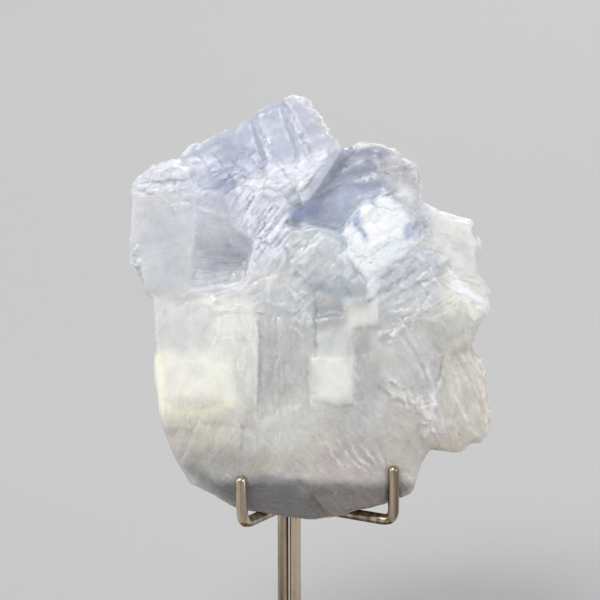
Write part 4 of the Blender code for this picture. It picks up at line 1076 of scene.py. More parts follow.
def store(mesh: bpy.types.Mesh, name: str, kind: str, values: np.ndarray) -> None:
    """Writes a point attribute.

    Args:
        mesh: The mesh.
        name: The attribute's name.
        kind: FLOAT, FLOAT_VECTOR or FLOAT_COLOR.
        values: One number or one row a point.
    """
    if name in mesh.attributes:
        mesh.attributes.remove(mesh.attributes[name])
    attribute = mesh.attributes.new(name, kind, "POINT")
    key = {"FLOAT": "value", "FLOAT_VECTOR": "vector", "FLOAT_COLOR": "color"}[kind]
    attribute.data.foreach_set(key, np.ascontiguousarray(values, dtype=np.float32).ravel())


def new_geometry_tree(
        name: str, sizes: dict[str, float]) -> tuple[bpy.types.NodeTree, Graph, bpy.types.Node]:
    """A Geometry Nodes tree with a geometry input and named sizes.

    Args:
        name: The tree's name.
        sizes: Each named input and its usual value.

    Returns:
        The tree, its graph and its input node.
    """
    tree = bpy.data.node_groups.new(name, "GeometryNodeTree")
    tree.interface.new_socket("Geometry", in_out="INPUT", socket_type="NodeSocketGeometry")
    tree.interface.new_socket("Geometry", in_out="OUTPUT", socket_type="NodeSocketGeometry")
    for label, value in sizes.items():
        socket = tree.interface.new_socket(label, in_out="INPUT", socket_type="NodeSocketFloat")
        socket.default_value = value
    graph = Graph(tree)
    return tree, graph, graph.node("NodeGroupInput")


def finish_tree(graph: Graph, geometry: object, material: bpy.types.Material) -> None:
    """Ends a Geometry Nodes tree: instances made real, the material set, the result sent out.

    Args:
        graph: The tree's graph.
        geometry: The socket with the finished shape.
        material: What the shape is made of.
    """
    whole = graph.node("GeometryNodeRealizeInstances", {"Geometry": geometry})
    dressed = graph.node("GeometryNodeSetMaterial", {"Geometry": whole.outputs[0], "Material": material})
    graph.node("NodeGroupOutput", {"Geometry": dressed.outputs[0]})


def set_sizes(obj: bpy.types.Object, tree: bpy.types.NodeTree, sizes: dict[str, float]) -> None:
    """Puts a Geometry Nodes tree on an object, with its named inputs set.

    Args:
        obj: The object.
        tree: The tree.
        sizes: The value of each named input.
    """
    modifier = obj.modifiers.new(tree.name, "NODES")
    modifier.node_group = tree
    for item in tree.interface.items_tree:
        if item.in_out == "INPUT" and item.name in sizes:
            modifier[item.identifier] = sizes[item.name]


@dataclass
class CalciteCluster:
    """The stone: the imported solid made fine, broken along its cleavage and tinted by region.

    Attributes:
        node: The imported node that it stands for.
        pose: The frame that it leans in.
        finish: Its material.
        coarse_voxel: The voxel size for the first fusing, in metres.
        fine_voxel: The voxel size that the relief is cut in, in metres.
        most_triangles: How many triangles it may end with.
        soft_rounds: How many rounds of averaging find the gentle depth behind the front's blocks.
        soft_share: How far the front is drawn to that gentle depth, because its blocks melt together.
        flake_sizes: The smallest and largest flake on its broken faces, in millimetres.
        flakes_per_square_metre: How dense the flakes stand on a crumbled face.
        steps: The cleavage steps: for each scale the cell size and the deepest step, in millimetres, and
            how far its facets tilt, as a slope.
        elongation: How much longer than wide the cleavage cells are.
        cut_share: How much deeper a step may cut in than it may stand out.
        back_tint: The ground colour of the sides and the back, as the eye sees it.
        box_tint: The colour that shows where no region reaches, as the eye sees it.
        back_patches: The tints that cloud the sides and the back: for each a noise seed, a size in
            millimetres, a strength and the colour as the eye sees it.
        noise: What lets the regions' borders stray.
    """

    node: str = "calcite_cluster"
    pose: StonePose = field(default_factory=StonePose)
    finish: CalciteFinish = field(default_factory=CalciteFinish)
    coarse_voxel: float = 0.0009
    fine_voxel: float = 0.00042
    most_triangles: int = 192000
    flake_sizes: tuple[float, float] = (0.9, 3.0)
    flakes_per_square_metre: float = 60000.0
    steps: tuple[tuple[float, float, float], ...] = ((7.0, 0.40, 0.08), (3.0, 0.22, 0.22), (1.5, 0.10, 0.30))
    elongation: float = 2.6
    cut_share: float = 1.35
    back_tint: Rgb = (206, 208, 213)
    box_tint: Rgb = (196, 198, 203)
    soft_rounds: int = 70
    # soft_share: How far the front is pulled to that gentle depth, because its blocks melt together.
    soft_share: float = 0.65
    back_patches: tuple[tuple[int, float, float, Rgb], ...] = (
        (6, 26.0, 0.6, (226, 223, 210)), (41, 15.0, 0.7, (186, 191, 210)), (42, 12.0, 0.8, (232, 233, 234)))
    noise: SolidNoise = field(default_factory=SolidNoise)

    def build(self, frame: dict) -> bpy.types.Object:
        """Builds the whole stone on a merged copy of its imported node.


        Returns:
            The finished piece.
        """
        stone = new_object("calcite_stone", self.merged_copy(frame["nodes"][self.node]))
        self.fuse(stone, self.coarse_voxel)
        self.melt(stone.data)
        self.mark(stone.data)
        material = self.finish.material()
        set_sizes(stone, self.flake_tree(material), {
            "Smallest flake": self.flake_sizes[0] * MM, "Largest flake": self.flake_sizes[1] * MM,
            "Density": self.flakes_per_square_metre})
        baked(stone)
        self.fuse(stone, self.fine_voxel)
        self.mark(stone.data)
        set_sizes(stone, self.cleavage_tree(material), self.step_sizes())
        baked(stone)
        self.cut_seams(stone.data)
        self.thin(stone)
        self.keep_in_box(stone.data)
        self.paint(stone.data)
        stone.data.materials.clear()
        stone.data.materials.append(material)
        LOG.info("stone has %d triangles", sum(len(p.vertices) - 2 for p in stone.data.polygons))
        return stone

    def merged_copy(self, node: bpy.types.Object) -> bpy.types.Mesh:
        """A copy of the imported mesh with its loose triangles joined.

        Args:
            node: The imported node.

        Returns:
            The new mesh.
        """
        mesh = node.data.copy()
        shape = bmesh.new()
        shape.from_mesh(mesh)
        bmesh.ops.remove_doubles(shape, verts=shape.verts, dist=1e-6)
        shape.to_mesh(mesh)
        shape.free()
        return mesh

    def fuse(self, obj: bpy.types.Object, voxel: float) -> None:
        """Fuses everything in a mesh to one closed skin of even quads.

        Args:
            obj: The object.
            voxel: The size of the quads, in metres.
        """
        modifier = obj.modifiers.new("fuse", "REMESH")
        modifier.mode = "VOXEL"
        modifier.voxel_size = voxel
        baked(obj)

    def neighbour_mean(self, mesh: bpy.types.Mesh, values: np.ndarray, rounds: int) -> np.ndarray:
        """Each point's value after rounds of averaging with its neighbours.

        Args:
            mesh: The mesh whose edges say what is a neighbour.
            values: One value or one row a point.
            rounds: How often to average.

        Returns:
            The averaged values.
        """
        ends = np.empty(len(mesh.edges) * 2, dtype=np.int32)
        mesh.edges.foreach_get("vertices", ends)
        ends = ends.reshape(-1, 2)
        both = np.concatenate([ends, ends[:, ::-1]])
        total = len(mesh.vertices)
        count = np.bincount(both[:, 0], minlength=total).astype(float)
        columns = values[:, None] if values.ndim == 1 else values
        for _ in range(rounds):
            columns = np.stack([
                np.bincount(both[:, 0], weights=columns[both[:, 1], i], minlength=total) / count
                for i in range(columns.shape[1])], axis=1)
        return columns[:, 0] if values.ndim == 1 else columns

    def melt(self, mesh: bpy.types.Mesh) -> None:
        """Draws the front's blocks towards one gentle surface, most in the milky lower half.

        Args:
            mesh: The fused stone.
        """
        local = self.pose.local_mm(points_of(mesh))
        gentle = self.neighbour_mean(mesh, local[:, 1], self.soft_rounds)
        change = np.clip(gentle - local[:, 1], -3.0, 3.0)
        front = smooth_step(-8.0, -11.0, local[:, 1])
        above_prongs = smooth_step(14.0, 22.0, local[:, 2])
        lower = 1.0 - 0.5 * smooth_step(58.0, 70.0, local[:, 2])
        heel = 1.0 + 0.35 * smooth_step(40.0, 34.0, local[:, 2])
        crisp = 1.0 - 0.7 * smooth_step(84.0, 92.0, local[:, 2])
        local[:, 1] += change * front * above_prongs * lower * heel * crisp * self.soft_share
        milky = smooth_step(66.0, 58.0, local[:, 2])
        foot = smooth_step(32.0, 24.0, local[:, 2]) * smooth_step(3.0, 8.0, local[:, 2])
        for rounds, share in ((2, lower * crisp), (6, milky * 0.85), (26, foot * 0.8)):
            rounded = self.neighbour_mean(mesh, local[:, 1], rounds)
            local[:, 1] += (rounded - local[:, 1]) * front * share
        set_points(mesh, self.pose.world_m(local))

    def nearest_grains(self, local: np.ndarray) -> tuple[np.ndarray, np.ndarray]:
        """The grain that each point belongs to, with ragged borders.

        Args:
            local: Points in stone millimetres, one a row.

        Returns:
            The grain's number, and a value from 0 on its border to 1 inside it, one a point.
        """
        stray = np.stack([SolidNoise(seed).layered(local, 9.0) for seed in (21, 22)], axis=1) * 5.0
        seen = local[:, (0, 2)] + stray
        centres = np.array([grain.centre for grain in GRAINS])
        away = np.linalg.norm(seen[:, None, :] - centres[None], axis=2)
        nearest = np.partition(away, 1, axis=1)
        return np.argmin(away, axis=1), smooth_step(0.3, 2.2, nearest[:, 1] - nearest[:, 0])

    def mark(self, mesh: bpy.types.Mesh) -> None:
        """Writes what the Geometry Nodes trees read: cleavage place, axes, facing and brokenness.

        Args:
            mesh: The stone's skin.
        """
        local = self.pose.local_mm(points_of(mesh))
        normals = normals_of(mesh) @ np.array(self.pose.to_world())[:3, :3]
        grains, inner = self.nearest_grains(local)
        place = np.zeros_like(local)
        facing = np.zeros_like(local)
        axes = [np.zeros_like(local) for _ in range(3)]
        for number, grain in enumerate(GRAINS):
            chosen = grains == number
            edges = grain.edges()
            middle = np.array((grain.centre[0], 0.0, grain.centre[1]))
            inverse = np.linalg.inv(edges)
            stretch = np.array((1.0 / grain.stretch, 1.0, 1.0))
            place[chosen] = (local[chosen] - middle) @ inverse * stretch + number * 37.0
            planes = inverse.T / np.linalg.norm(inverse.T, axis=1)[:, None]
            lean = np.abs(normals[chosen] @ planes.T) ** 6
            facing[chosen] = lean / lean.sum(axis=1)[:, None]
            for axis in range(3):
                axes[axis][chosen] = edges[axis]
        store(mesh, "cleave", "FLOAT_VECTOR", place)
        store(mesh, "facing", "FLOAT_VECTOR", facing)
        for axis, name in enumerate(("axis_u", "axis_v", "axis_w")):
            store(mesh, name, "FLOAT_VECTOR", self.pose.world_directions(axes[axis]))
        relief = self.painted(local)["relief"]
        kept = inner + (1.0 - inner) * 0.6 * smooth_step(0.3, 0.7, relief)
        store(mesh, "broken", "FLOAT", relief * kept)
        store(mesh, "inner", "FLOAT", inner)

    def painted(self, local: np.ndarray) -> dict[str, np.ndarray]:
        """What the regions say at each point of the stone.

        Args:
            local: Points in stone millimetres, one a row.

        Returns:
            The tint in linear light, the relief and the frost, one a point.
        """
        seen = local[:, (0, 2)]
        front = smooth_step(5.0, -1.0, local[:, 1])
        stray = self.noise.layered(local, 4.0)
        mottle = SolidNoise(5).layered(local, 14.0)
        back = srgb_to_linear(self.back_tint)[None] * (1.0 + 0.08 * mottle[:, None])
        for seed, size, strength, patch in self.back_patches:
            share = strength * smooth_step(0.0, 0.45, SolidNoise(seed).layered(local, size))[:, None]
            back = back * (1 - share) + srgb_to_linear(patch)[None] * share
        tint = np.tile(srgb_to_linear(self.box_tint), (len(local), 1))
        relief = np.full(len(local), Relief.STEPPED.value)
        frost = np.zeros(len(local))
        lines = np.zeros(len(local))
        for zone in ZONES:
            depth = inside_distance(seen, zone.outline) + stray * zone.wander
            share = smooth_step(-zone.feather, zone.feather, depth)
            tint += (srgb_to_linear(zone.tint)[None] - tint) * share[:, None]
            relief += (zone.relief.value - relief) * share
            frost += (zone.frost - frost) * share
            lines += (zone.lines - lines) * share
        tint = tint * front[:, None] + back * (1 - front[:, None])
        relief = relief * front + Relief.STEPPED.value * (1 - front)
        lines = lines * front + 0.4 * (1 - front)
        return {"tint": tint, "relief": relief, "frost": frost * front, "lines": lines}

    def seam_shares(self, local: np.ndarray) -> tuple[np.ndarray, np.ndarray]:
        """What the single lines do at each point.

        Args:
            local: Points in stone millimetres, one a row.

        Returns:
            The change of tint and the rise in millimetres, one a point.
        """
        stray = np.stack([
            SolidNoise(seed).layered(local, 3.0) * 0.55 + SolidNoise(seed + 3).layered(local, 0.9) * 0.4
            for seed in (31, 32)], axis=1)
        patchy = np.clip(0.75 + 0.8 * SolidNoise(33).layered(local, 2.2), 0.1, 1.3)
        seen = local[:, (0, 2)] + stray
        front = smooth_step(-1.0, -5.0, local[:, 1])
        change, rise = np.zeros(len(local)), np.zeros(len(local))
        for seam in SEAMS:
            for course in seam.courses:
                share = np.exp(-(line_distance(seen, course) / seam.half_width) ** 2) * front * patchy
                change += seam.change * share
                rise += seam.rise * share
        return change, rise

    def cut_seams(self, mesh: bpy.types.Mesh) -> None:
        """Raises or cuts each single line in the skin.

        Args:
            mesh: The stone's skin.
        """
        points = points_of(mesh)
        _, rise = self.seam_shares(self.pose.local_mm(points))
        set_points(mesh, points + normals_of(mesh) * np.clip(rise, -0.5, 0.5)[:, None] * MM)

    def flake_tree(self, material: bpy.types.Material) -> bpy.types.NodeTree:
        """Scatters small cleavage rhombs on the broken faces, turned along the grain.

        Args:
            material: The stone's material.

        Returns:
            The tree, with the flake sizes and their density as named inputs.
        """
        tree, graph, source = new_geometry_tree(
            "cleavage_flakes", {"Smallest flake": 0.0009, "Largest flake": 0.003, "Density": 60000.0})
        broken = graph.node("GeometryNodeInputNamedAttribute", {"Name": "broken"}, data_type="FLOAT")
        share = graph.spread(broken.outputs[0], 0.35, 1.1)
        density = graph.math("MULTIPLY", source.outputs["Density"], share)
        points = graph.node("GeometryNodeDistributePointsOnFaces", {"Mesh": source.outputs["Geometry"],
                                                                   "Density": density, "Seed": 7})
        along = graph.node("GeometryNodeInputNamedAttribute", {"Name": "axis_u"}, data_type="FLOAT_VECTOR")
        deep = graph.node("GeometryNodeInputNamedAttribute", {"Name": "axis_w"}, data_type="FLOAT_VECTOR")
        outward = graph.vector("ADD", graph.vector("SCALE", points.outputs["Normal"], 1.6), graph.vector(
            "SCALE", deep.outputs[0], graph.math("SIGN", graph.vector(
                "DOT_PRODUCT", points.outputs["Normal"], deep.outputs[0]))))
        turn = graph.node("FunctionNodeAxesToRotation", {"Primary Axis": outward,
                                                         "Secondary Axis": along.outputs[0]},
                          primary_axis="Z", secondary_axis="X")
        size = graph.node("FunctionNodeRandomValue", {"Min": source.outputs["Smallest flake"],
                                                      "Max": source.outputs["Largest flake"], "Seed": 3},
                          data_type="FLOAT")
        shape = graph.node("FunctionNodeRandomValue", {0: (0.8, 0.25, 0.16), 1: (1.2, 0.5, 0.34), "Seed": 4},
                           data_type="FLOAT_VECTOR")
        scale = graph.vector("SCALE", shape.outputs[0], size.outputs[1])
        cube = graph.node("GeometryNodeMeshCube", {"Size": (1.0, 1.0, 1.0)})
        lean = graph.node("GeometryNodeSetPosition", {
            "Geometry": cube.outputs["Mesh"], "Offset": self.shear(graph)})
        flakes = graph.node("GeometryNodeInstanceOnPoints", {
            "Points": points.outputs["Points"], "Instance": lean.outputs[0], "Rotation": turn.outputs[0],
            "Scale": scale})
        joined = graph.node("GeometryNodeJoinGeometry")
        tree.links.new(flakes.outputs[0], joined.inputs[0])
        tree.links.new(source.outputs["Geometry"], joined.inputs[0])
        finish_tree(graph, joined.outputs[0], material)
        return tree

    def shear(self, graph: Graph) -> bpy.types.NodeSocket:
        """The offset that leans a cube over to calcite's rhomb.

        Args:
            graph: The tree's graph.

        Returns:
            The offset's socket.
        """
        position = graph.node("GeometryNodeInputPosition").outputs[0]
        parts = graph.node("ShaderNodeSeparateXYZ", {0: position})
        across = graph.math("MULTIPLY", parts.outputs["Y"], 1.0 / math.tan(math.radians(RHOMB_ANGLE)))
        return graph.node("ShaderNodeCombineXYZ", {"X": across}).outputs[0]

    def step_sizes(self) -> dict[str, float]:
        """The named inputs of the cleavage relief.

        Returns:
            Each input's name and value.
        """
        sizes = {}
        for number, (cell, step, tilt) in enumerate(self.steps):
            sizes |= {f"Cell {number}": cell, f"Step {number}": step, f"Tilt {number}": tilt}
        return sizes

    def cleavage_tree(self, material: bpy.types.Material) -> bpy.types.NodeTree:
        """Snaps the skin to slightly tilted cleavage planes, cell by cell, at several scales.

        Args:
            material: The stone's material.

        Returns:
            The tree, with each scale's cell, step and tilt as named inputs.
        """
        tree, graph, source = new_geometry_tree("cleavage_relief", self.step_sizes())

        def named(name: str, kind: str) -> bpy.types.NodeSocket:
            """An attribute's output."""
            return graph.node("GeometryNodeInputNamedAttribute", {"Name": name}, data_type=kind).outputs[0]

        stretch = (1.0 / self.elongation, 1.0, 1.0)
        place = graph.vector("MULTIPLY", named("cleave", "FLOAT_VECTOR"), stretch)
        facing, broken = named("facing", "FLOAT_VECTOR"), named("broken", "FLOAT")
        moved = None
        for number in range(len(self.steps)):
            cell, step = source.outputs[f"Cell {number}"], source.outputs[f"Step {number}"]
            cells = graph.node("ShaderNodeTexVoronoi", {
                "Vector": place, "Scale": graph.math("DIVIDE", 1.0, cell), "Randomness": 0.9},
                voronoi_dimensions="3D", feature="F1", distance="CHEBYCHEV")
            towards = graph.vector("SUBTRACT", cells.outputs["Position"], place)
            chance = graph.vector("SUBTRACT", cells.outputs["Color"], (0.5, 0.5, 0.5))
            tilted = graph.math("MULTIPLY", graph.vector("DOT_PRODUCT", towards, chance),
                                graph.math("MULTIPLY", source.outputs[f"Tilt {number}"], 2.0))
            tilted = graph.node("ShaderNodeCombineXYZ", {0: tilted, 1: tilted, 2: tilted}).outputs[0]
            limit = graph.node("ShaderNodeCombineXYZ", {0: step, 1: step, 2: step}).outputs[0]
            towards = graph.vector("MINIMUM", towards, limit)
            deepest = graph.vector("SCALE", limit, -self.cut_share)
            towards = graph.vector("MAXIMUM", towards, deepest)
            tilted = graph.vector("MAXIMUM", graph.vector("MINIMUM", tilted, limit), deepest)
            towards = graph.vector("ADD", towards, tilted)
            moved = towards if moved is None else graph.vector("ADD", moved, towards)
        moved = graph.vector("SCALE", graph.vector("MULTIPLY", moved, facing), broken)
        parts = graph.node("ShaderNodeSeparateXYZ", {0: moved})
        offset = None
        for axis, name in enumerate(("axis_u", "axis_v", "axis_w")):
            push = graph.vector("SCALE", named(name, "FLOAT_VECTOR"), parts.outputs[axis])
            offset = push if offset is None else graph.vector("ADD", offset, push)
        offset = graph.vector("SCALE", offset, MM)
        shaped = graph.node("GeometryNodeSetPosition", {"Geometry": source.outputs["Geometry"],
                                                        "Offset": offset})
        finish_tree(graph, shaped.outputs[0], material)
        return tree

    def keep_in_box(self, mesh: bpy.types.Mesh) -> None:
        """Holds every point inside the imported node's box."""
        low, high = (np.array(corner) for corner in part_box(self.node))
        set_points(mesh, np.clip(points_of(mesh), low, high))

    def thin(self, obj: bpy.types.Object) -> None:
        """Collapses the flattest faces until the stone is light enough.

        Args:
            obj: The stone.
        """
        count = sum(len(p.vertices) - 2 for p in obj.data.polygons)
        LOG.info("stone is thinned from %d triangles", count)
        if count <= self.most_triangles:
            return
        modifier = obj.modifiers.new("thin", "DECIMATE")
        modifier.ratio = self.most_triangles / count
        baked(obj)

    def paint(self, mesh: bpy.types.Mesh) -> None:
        """Writes what the material reads: tint, frost, edge and cleavage place.

        Args:
            mesh: The finished skin.
        """
        points = points_of(mesh)
        local = self.pose.local_mm(points)
        said = self.painted(local)
        change, _ = self.seam_shares(local)
        # The seams darken and lighten the tint: painted shadow in steps and gaps, painted highlight and glow
        # along rims, and the stone's own fibres and flecks.
        lit = said["tint"] * (1.0 + np.minimum(change, 0.0))[:, None]
        lit += (0.93 - lit) * np.clip(change, 0.0, 0.9)[:, None]
        tint = np.concatenate([np.clip(lit, 0.0, 0.97), np.ones((len(points), 1))], axis=1)
        self.mark(mesh)
        store(mesh, "tint", "FLOAT_COLOR", tint)
        store(mesh, "frost", "FLOAT", said["frost"])
        store(mesh, "lines", "FLOAT", said["lines"])
        store(mesh, "edge", "FLOAT", self.convexity(mesh))
        for name in ("facing", "axis_u", "axis_v", "axis_w"):
            mesh.attributes.remove(mesh.attributes[name])
        mesh.shade_smooth()
        mesh.set_sharp_from_angle(angle=math.radians(38))

    def convexity(self, mesh: bpy.types.Mesh) -> np.ndarray:
        """How far each point stands out from its neighbours: above 0 on an edge, below 0 in a fold. The
        material whitens the one as painted highlight and darkens the other as painted shade.

        Args:
            mesh: The finished skin.

        Returns:
            One value a point, where 1 stands for half a millimetre.
        """
        points, normals = points_of(mesh), normals_of(mesh)
        around = self.neighbour_mean(mesh, points, 3)
        return ((points - around) * normals).sum(axis=1) / (0.5 * MM)


@dataclass(frozen=True)
class Rod:
    """One bent rod of the stand.

    Attributes:
        name: The piece's name.
        node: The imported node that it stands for.
        corners: Its corners in order, in world millimetres.
    """

    name: str
    node: str
    corners: tuple[Rgb, ...]


@dataclass
class WireStand:
    """The four-prong wire stand.

    Attributes:
        rod_diameter: The wire, in millimetres.
        bend_radius: How round its bends are, in millimetres.
        arm_height: The height of the arms' middle line, in millimetres.
        front_heights: How far the left and the right front prong rise above the arms.
        rear_height: How far the rear prongs rise above the arms.
        rear_lean: How far the rear prongs lean back, as a slope.
        stem_foot: The height of the stem rods' lower ends.
        stem_turn: How far the pair of stem rods is turned, in degrees.
        gap: The clearance between two rods, in millimetres.
        fork_offset: How far each fork's middle stands off the stem's middle.
        finish: The metal.
    """

    rod_diameter: float = 3.0
    bend_radius: float = 3.4
    arm_height: float = 50.1
    front_heights: tuple[float, float] = (13.0, 15.0)
    rear_height: float = 30.0
    rear_lean: float = 0.21
    stem_foot: float = 4.3
    stem_turn: float = -12.0
    gap: float = 0.3
    fork_offset: float = 1.65
    finish: NickelFinish = field(default_factory=NickelFinish)

    def rods(self) -> tuple[Rod, ...]:
        """The four rods and their corners.

        Returns:
            The rods, each with the node that it stands for.
        """
        level = self.arm_height
        left_tip, right_tip = (level + height for height in self.front_heights)
        rear_tip = level + self.rear_height
        set_back = self.rear_lean * self.rear_height
        spread = (self.rod_diameter + self.gap) / 2
        top = level - self.rod_diameter / 2 - self.gap
        turn = math.radians(self.stem_turn)
        across = Vector((math.cos(turn), math.sin(turn))) * spread
        return (
            Rod("front_prong_wire", "front_fork", (
                (-12.6, -22.6, left_tip), (-12.0, -22.6, level), (0.0, -self.fork_offset, level),
                (27.4, -19.5, level), (27.4, -19.5, right_tip))),
            Rod("rear_prong_wire", "rear_fork", (
                (-22.05, 16.0 + set_back, rear_tip), (-21.0, 16.0, level), (0.0, self.fork_offset, level),
                (14.0, 19.5, level), (14.0, 19.5 + set_back, rear_tip))),
            Rod("stem_wire_left", "stem_rod_left", (
                (-across.x, -across.y, self.stem_foot), (-across.x, -across.y, top))),
            Rod("stem_wire_right", "stem_rod_right", (
                (across.x, across.y, self.stem_foot), (across.x, across.y, top))),
        )

    def route(self, corners: tuple[Rgb, ...], steps: int = 10) -> list[Vector]:
        """The corners joined by straight runs with round bends.

        Args:
            corners: The rod's corners in order.
            steps: How many parts each bend has.

        Returns:
            The points of the rod's middle line, in millimetres.
        """
        route = [Vector(corners[0])]
        for before, corner, after in zip(corners, corners[1:], corners[2:]):
            middle = Vector(corner)
            back = (Vector(before) - middle).normalized()
            ahead = (Vector(after) - middle).normalized()
            reach = self.bend_radius / math.tan(back.angle(ahead) / 2)
            for i in range(steps + 1):
                share = i / steps
                start, end = middle + back * reach, middle + ahead * reach
                route.append(start.lerp(middle, share).lerp(middle.lerp(end, share), share))
        route.append(Vector(corners[-1]))
        return route

    def wire_tree(self, material: bpy.types.Material) -> bpy.types.NodeTree:
        """Sweeps a round wire along a curve, with domed ends from the curve's own radii.

        Args:
            material: The wire's metal.

        Returns:
            The tree, with the wire's radius as a named input.
        """
        tree, graph, source = new_geometry_tree("wire", {"Radius": self.rod_diameter / 2 * MM})
        circle = graph.node("GeometryNodeCurvePrimitiveCircle", {"Resolution": 32,
                                                                 "Radius": source.outputs["Radius"]})
        sockets = {"Curve": source.outputs["Geometry"], "Profile Curve": circle.outputs["Curve"],
                   "Fill Caps": True}
        sweep = graph.node("GeometryNodeCurveToMesh", sockets)
        if "Scale" in sweep.inputs:
            graph.feed(sweep.inputs["Scale"], graph.node("GeometryNodeInputRadius").outputs[0])
        finish_tree(graph, sweep.outputs[0], material)
        return tree

    def domed_points(self, route: list[Vector]) -> list[tuple[Vector, float]]:
        """The route's points with a radius each, rounded off at both ends.

        Args:
            route: The rod's middle line.

        Returns:
            Each point with its radius, as a share of the wire's own.
        """
        radius = self.rod_diameter / 2
        cap = [(radius * 0.8 * (1 - math.cos(a)), math.sin(a))
               for a in (math.radians(angle) for angle in (8, 25, 45, 65, 90))]
        first = (route[1] - route[0]).normalized()
        last = (route[-2] - route[-1]).normalized()
        start = [(route[0] + first * depth, width) for depth, width in cap]
        end = [(route[-1] + last * depth, width) for depth, width in reversed(cap)]
        return start + [(point, 1.0) for point in route[1:-1]] + end

    def build_rod(self, rod: Rod, tree: bpy.types.NodeTree) -> bpy.types.Object:
        """Makes one rod as a plain mesh.

        Args:
            rod: The rod.
            tree: The tree that sweeps the wire.

        Returns:
            The finished piece.
        """
        points = self.domed_points(self.route(rod.corners))
        curve = bpy.data.curves.new(rod.name, "CURVE")
        curve.dimensions = "3D"
        spline = curve.splines.new("POLY")
        spline.points.add(len(points) - 1)
        for target, (point, width) in zip(spline.points, points):
            target.co = (*(point * MM), 1.0)
            target.radius = width
        path = bpy.data.objects.new(f"{rod.name}_path", curve)
        bpy.context.scene.collection.objects.link(path)
        set_sizes(path, tree, {"Radius": self.rod_diameter / 2 * MM})
        graph = bpy.context.evaluated_depsgraph_get()
        mesh = bpy.data.meshes.new_from_object(path.evaluated_get(graph))
        bpy.data.objects.remove(path)
        mesh.shade_smooth()
        mesh.set_sharp_from_angle(angle=math.radians(50))
        return new_object(rod.name, mesh)

    def build(self) -> list[tuple[bpy.types.Object, str]]:
        """Builds every rod.

        Returns:
            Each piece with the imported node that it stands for.
        """
        tree = self.wire_tree(self.finish.material("drawn_nickel", turned=False))
        return [(self.build_rod(rod, tree), rod.node) for rod in self.rods()]


@dataclass
class TurnedBase:
    """The base: a flat disc turned on a lathe, with a slot that takes both stem rods.

    Attributes:
        diameter: The disc's diameter, in millimetres.
        thickness: Its thickness, in millimetres.
        rim: How round its upper rim is, in millimetres.
        slot_foot: The height of the slot's floor, in millimetres.
        slot_radius: The radius of the slot's two ends, in millimetres.
        slot_spread: How far each end's middle lies from the stem's middle, in millimetres.
        slot_turn: How far the slot is turned, in degrees.
        segments: How many faces go round it.
        finish: The metal.
    """

    diameter: float = 84.0
    thickness: float = 7.0
    rim: float = 1.2
    slot_foot: float = 4.0
    slot_radius: float = 1.8
    slot_spread: float = 1.65
    slot_turn: float = -12.0
    segments: int = 160
    finish: NickelFinish = field(default_factory=NickelFinish)

    def profile(self) -> list[tuple[float, float]]:
        """Its half section as (radius, height) from the underside to the top.

        Returns:
            The corners of the half section, in millimetres.
        """
        radius, top = self.diameter / 2, self.thickness
        section = [(radius - 1.5, 0.0), (radius - 0.4, 0.0), (radius - 0.1, 0.1), (radius, 0.4)]
        for step in range(9):
            turn = math.radians(90.0 * step / 8)
            section.append((radius - self.rim * (1 - math.cos(turn)), top - self.rim * (1 - math.sin(turn))))
        return section + [(radius - self.rim - 1.0, top)]

    def disc(self) -> bpy.types.Mesh:
        """The solid disc, its two flat faces closed.

        Returns:
            The disc's mesh.
        """
        rings = [[(math.cos(turn) * r * MM, math.sin(turn) * r * MM, z * MM) for turn in
                  (2 * math.pi * i / self.segments for i in range(self.segments))]
                 for r, z in self.profile()]
        count = self.segments
        faces = [tuple(reversed(range(count))), tuple(range((len(rings) - 1) * count, len(rings) * count))]
        for low in range(0, (len(rings) - 1) * count, count):
            faces += [(low + i, low + (i + 1) % count, low + count + (i + 1) % count, low + count + i)
                      for i in range(count)]
        mesh = bpy.data.meshes.new("base_turned")
        mesh.from_pydata([point for ring in rings for point in ring], [], faces)
        return mesh

    def slot(self) -> bpy.types.Mesh:
        """The round-ended block that cuts the slot.

        Returns:
            The block's mesh.
        """
        steps, sides = 16, []
        turn = math.radians(self.slot_turn)
        for sign in (1, -1):
            for i in range(steps + 1):
                angle = turn + math.pi * (i / steps - 0.5 * sign)
                sides.append((sign * self.slot_spread * math.cos(turn) + self.slot_radius * math.cos(angle),
                              sign * self.slot_spread * math.sin(turn) + self.slot_radius * math.sin(angle)))
        count = len(sides)
        points = [(x * MM, y * MM, z * MM) for z in (self.slot_foot, self.thickness + 2.0) for x, y in sides]
        faces = [tuple(reversed(range(count))), tuple(range(count, 2 * count))]
        faces += [(i, (i + 1) % count, count + (i + 1) % count, count + i) for i in range(count)]
        mesh = bpy.data.meshes.new("base_slot")
        mesh.from_pydata(points, [], faces)
        return mesh

    def build(self) -> bpy.types.Object:
        """Builds the disc and cuts its slot.

        Returns:
            The finished piece.
        """
        base = new_object("base_turned", self.disc())
        cutter = new_object("base_slot", self.slot())
        cut = base.modifiers.new("slot", "BOOLEAN")
        cut.object, cut.operation, cut.solver = cutter, "DIFFERENCE", "EXACT"
        baked(base)
        bpy.data.objects.remove(cutter)
        base.data.materials.clear()
        base.data.materials.append(self.finish.material("turned_nickel", turned=True))
        base.data.shade_smooth()
        base.data.set_sharp_from_angle(angle=math.radians(30))
        return base


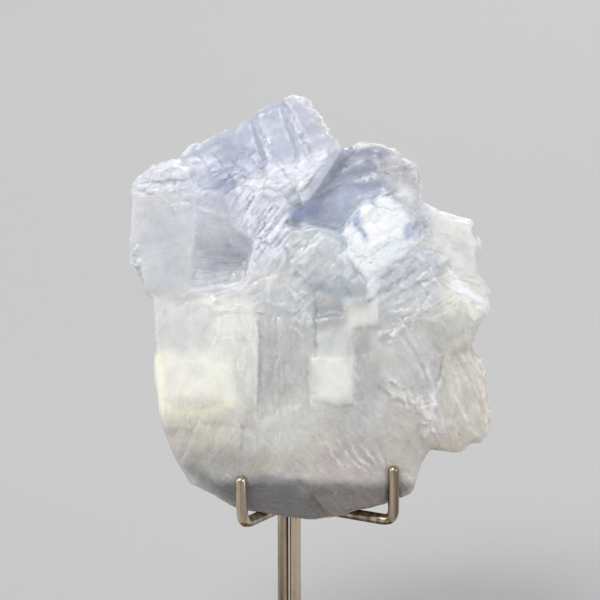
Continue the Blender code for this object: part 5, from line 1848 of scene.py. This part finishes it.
@dataclass
class Studio:
    """The plain pale floor, the soft lights and the camera.

    Attributes:
        pose: The stone's frame, whose lean is the camera's elevation.
        aim: The point that the camera looks at, in stone millimetres.
        reach: How far in front of the aim the camera stands, in millimetres.
        half_width: Half the width of the view at the aim, in millimetres.
    """

    pose: StonePose = field(default_factory=StonePose)
    aim: Rgb = (2.9, -8.0, 57.6)
    reach: float = 900.0
    half_width: float = 78.95

    def build(self) -> None:
        """Sets up the floor, the lights, the world and the camera."""
        self.floor()
        self.light("key", (-1.1, -1.7, 2.6), (1.4, 1.4), 49.0)
        self.light("fill", (2.0, -1.7, 1.1), (1.6, 1.6), 12.0)
        self.light("rim", (0.4, 2.0, 1.7), (1.3, 1.3), 22.0)
        self.light("left strip", (-2.2, -0.55, 0.8), (0.6, 1.6), 8.0)
        self.light("right strip", (2.2, -0.65, 0.8), (0.6, 1.6), 8.0)
        world = bpy.data.worlds.new("studio")
        world.use_nodes = True
        sky = world.node_tree.nodes["Background"]
        sky.inputs[0].default_value = (0.92, 0.94, 1.0, 1.0)
        sky.inputs[1].default_value = 0.53
        bpy.context.scene.world = world
        bpy.context.scene.view_settings.view_transform = "Standard"
        self.camera()

    def floor(self) -> None:
        """A wide pale floor."""
        mesh = bpy.data.meshes.new("floor")
        half = 6.0
        mesh.from_pydata([(-half, -half, 0), (half, -half, 0), (half, half, 0), (-half, half, 0)], [],
                         [(0, 1, 2, 3)])
        floor = new_object("floor", mesh)
        material, _, shader = material_graph("pale_floor")
        shader.inputs["Base Color"].default_value = (0.50, 0.495, 0.485, 1.0)
        shader.inputs["Roughness"].default_value = 0.9
        mesh.materials.append(material)

    def light(self, name: str, place: Rgb, size: tuple[float, float], power: float) -> None:
        """A soft panel light that looks at the stone.

        Args:
            name: The light's name.
            place: Where it hangs, in world metres.
            size: Its width and its height, in metres.
            power: Its strength, in watts.
        """
        lamp = bpy.data.lights.new(name, "AREA")
        lamp.shape, lamp.energy = "RECTANGLE", power
        lamp.size, lamp.size_y = size
        holder = bpy.data.objects.new(name, lamp)
        holder.location = place
        target = Vector((0.0, 0.0, 0.1))
        holder.rotation_euler = (target - Vector(place)).to_track_quat("-Z", "Y").to_euler()
        bpy.context.scene.collection.objects.link(holder)

    def camera(self) -> None:
        """The camera square on to the stone's front, as in the photograph."""
        to_world = self.pose.to_world()
        place = to_world @ (Vector((self.aim[0], self.aim[1] - self.reach, self.aim[2])) * MM)
        lens = bpy.data.cameras.new("view")
        lens.lens = lens.sensor_width / 2 * self.reach / self.half_width
        lens.clip_start = 0.01
        view = bpy.data.objects.new("view", lens)
        view.matrix_world = Matrix.Translation(place) @ Matrix.Rotation(
            math.radians(90.0 - self.pose.lean), 4, "X")
        bpy.context.scene.collection.objects.link(view)
        bpy.context.scene.camera = view


def main() -> None:
    """Builds the stand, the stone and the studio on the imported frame."""
    logging.basicConfig(level=logging.INFO, format="%(name)s: %(message)s")
    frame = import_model()
    for piece, node in WireStand().build():
        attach(piece, "root")
        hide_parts(node)
        LOG.info("built %s", piece.name)
    stone = CalciteCluster().build(frame)
    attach(stone, "root")
    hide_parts("calcite_cluster")
    LOG.info("built %s", stone.name)
    base = TurnedBase().build()
    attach(base, "root")
    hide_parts("base_disc")
    LOG.info("built %s", base.name)
    Studio().build()


if __name__ == "__main__":
    main()
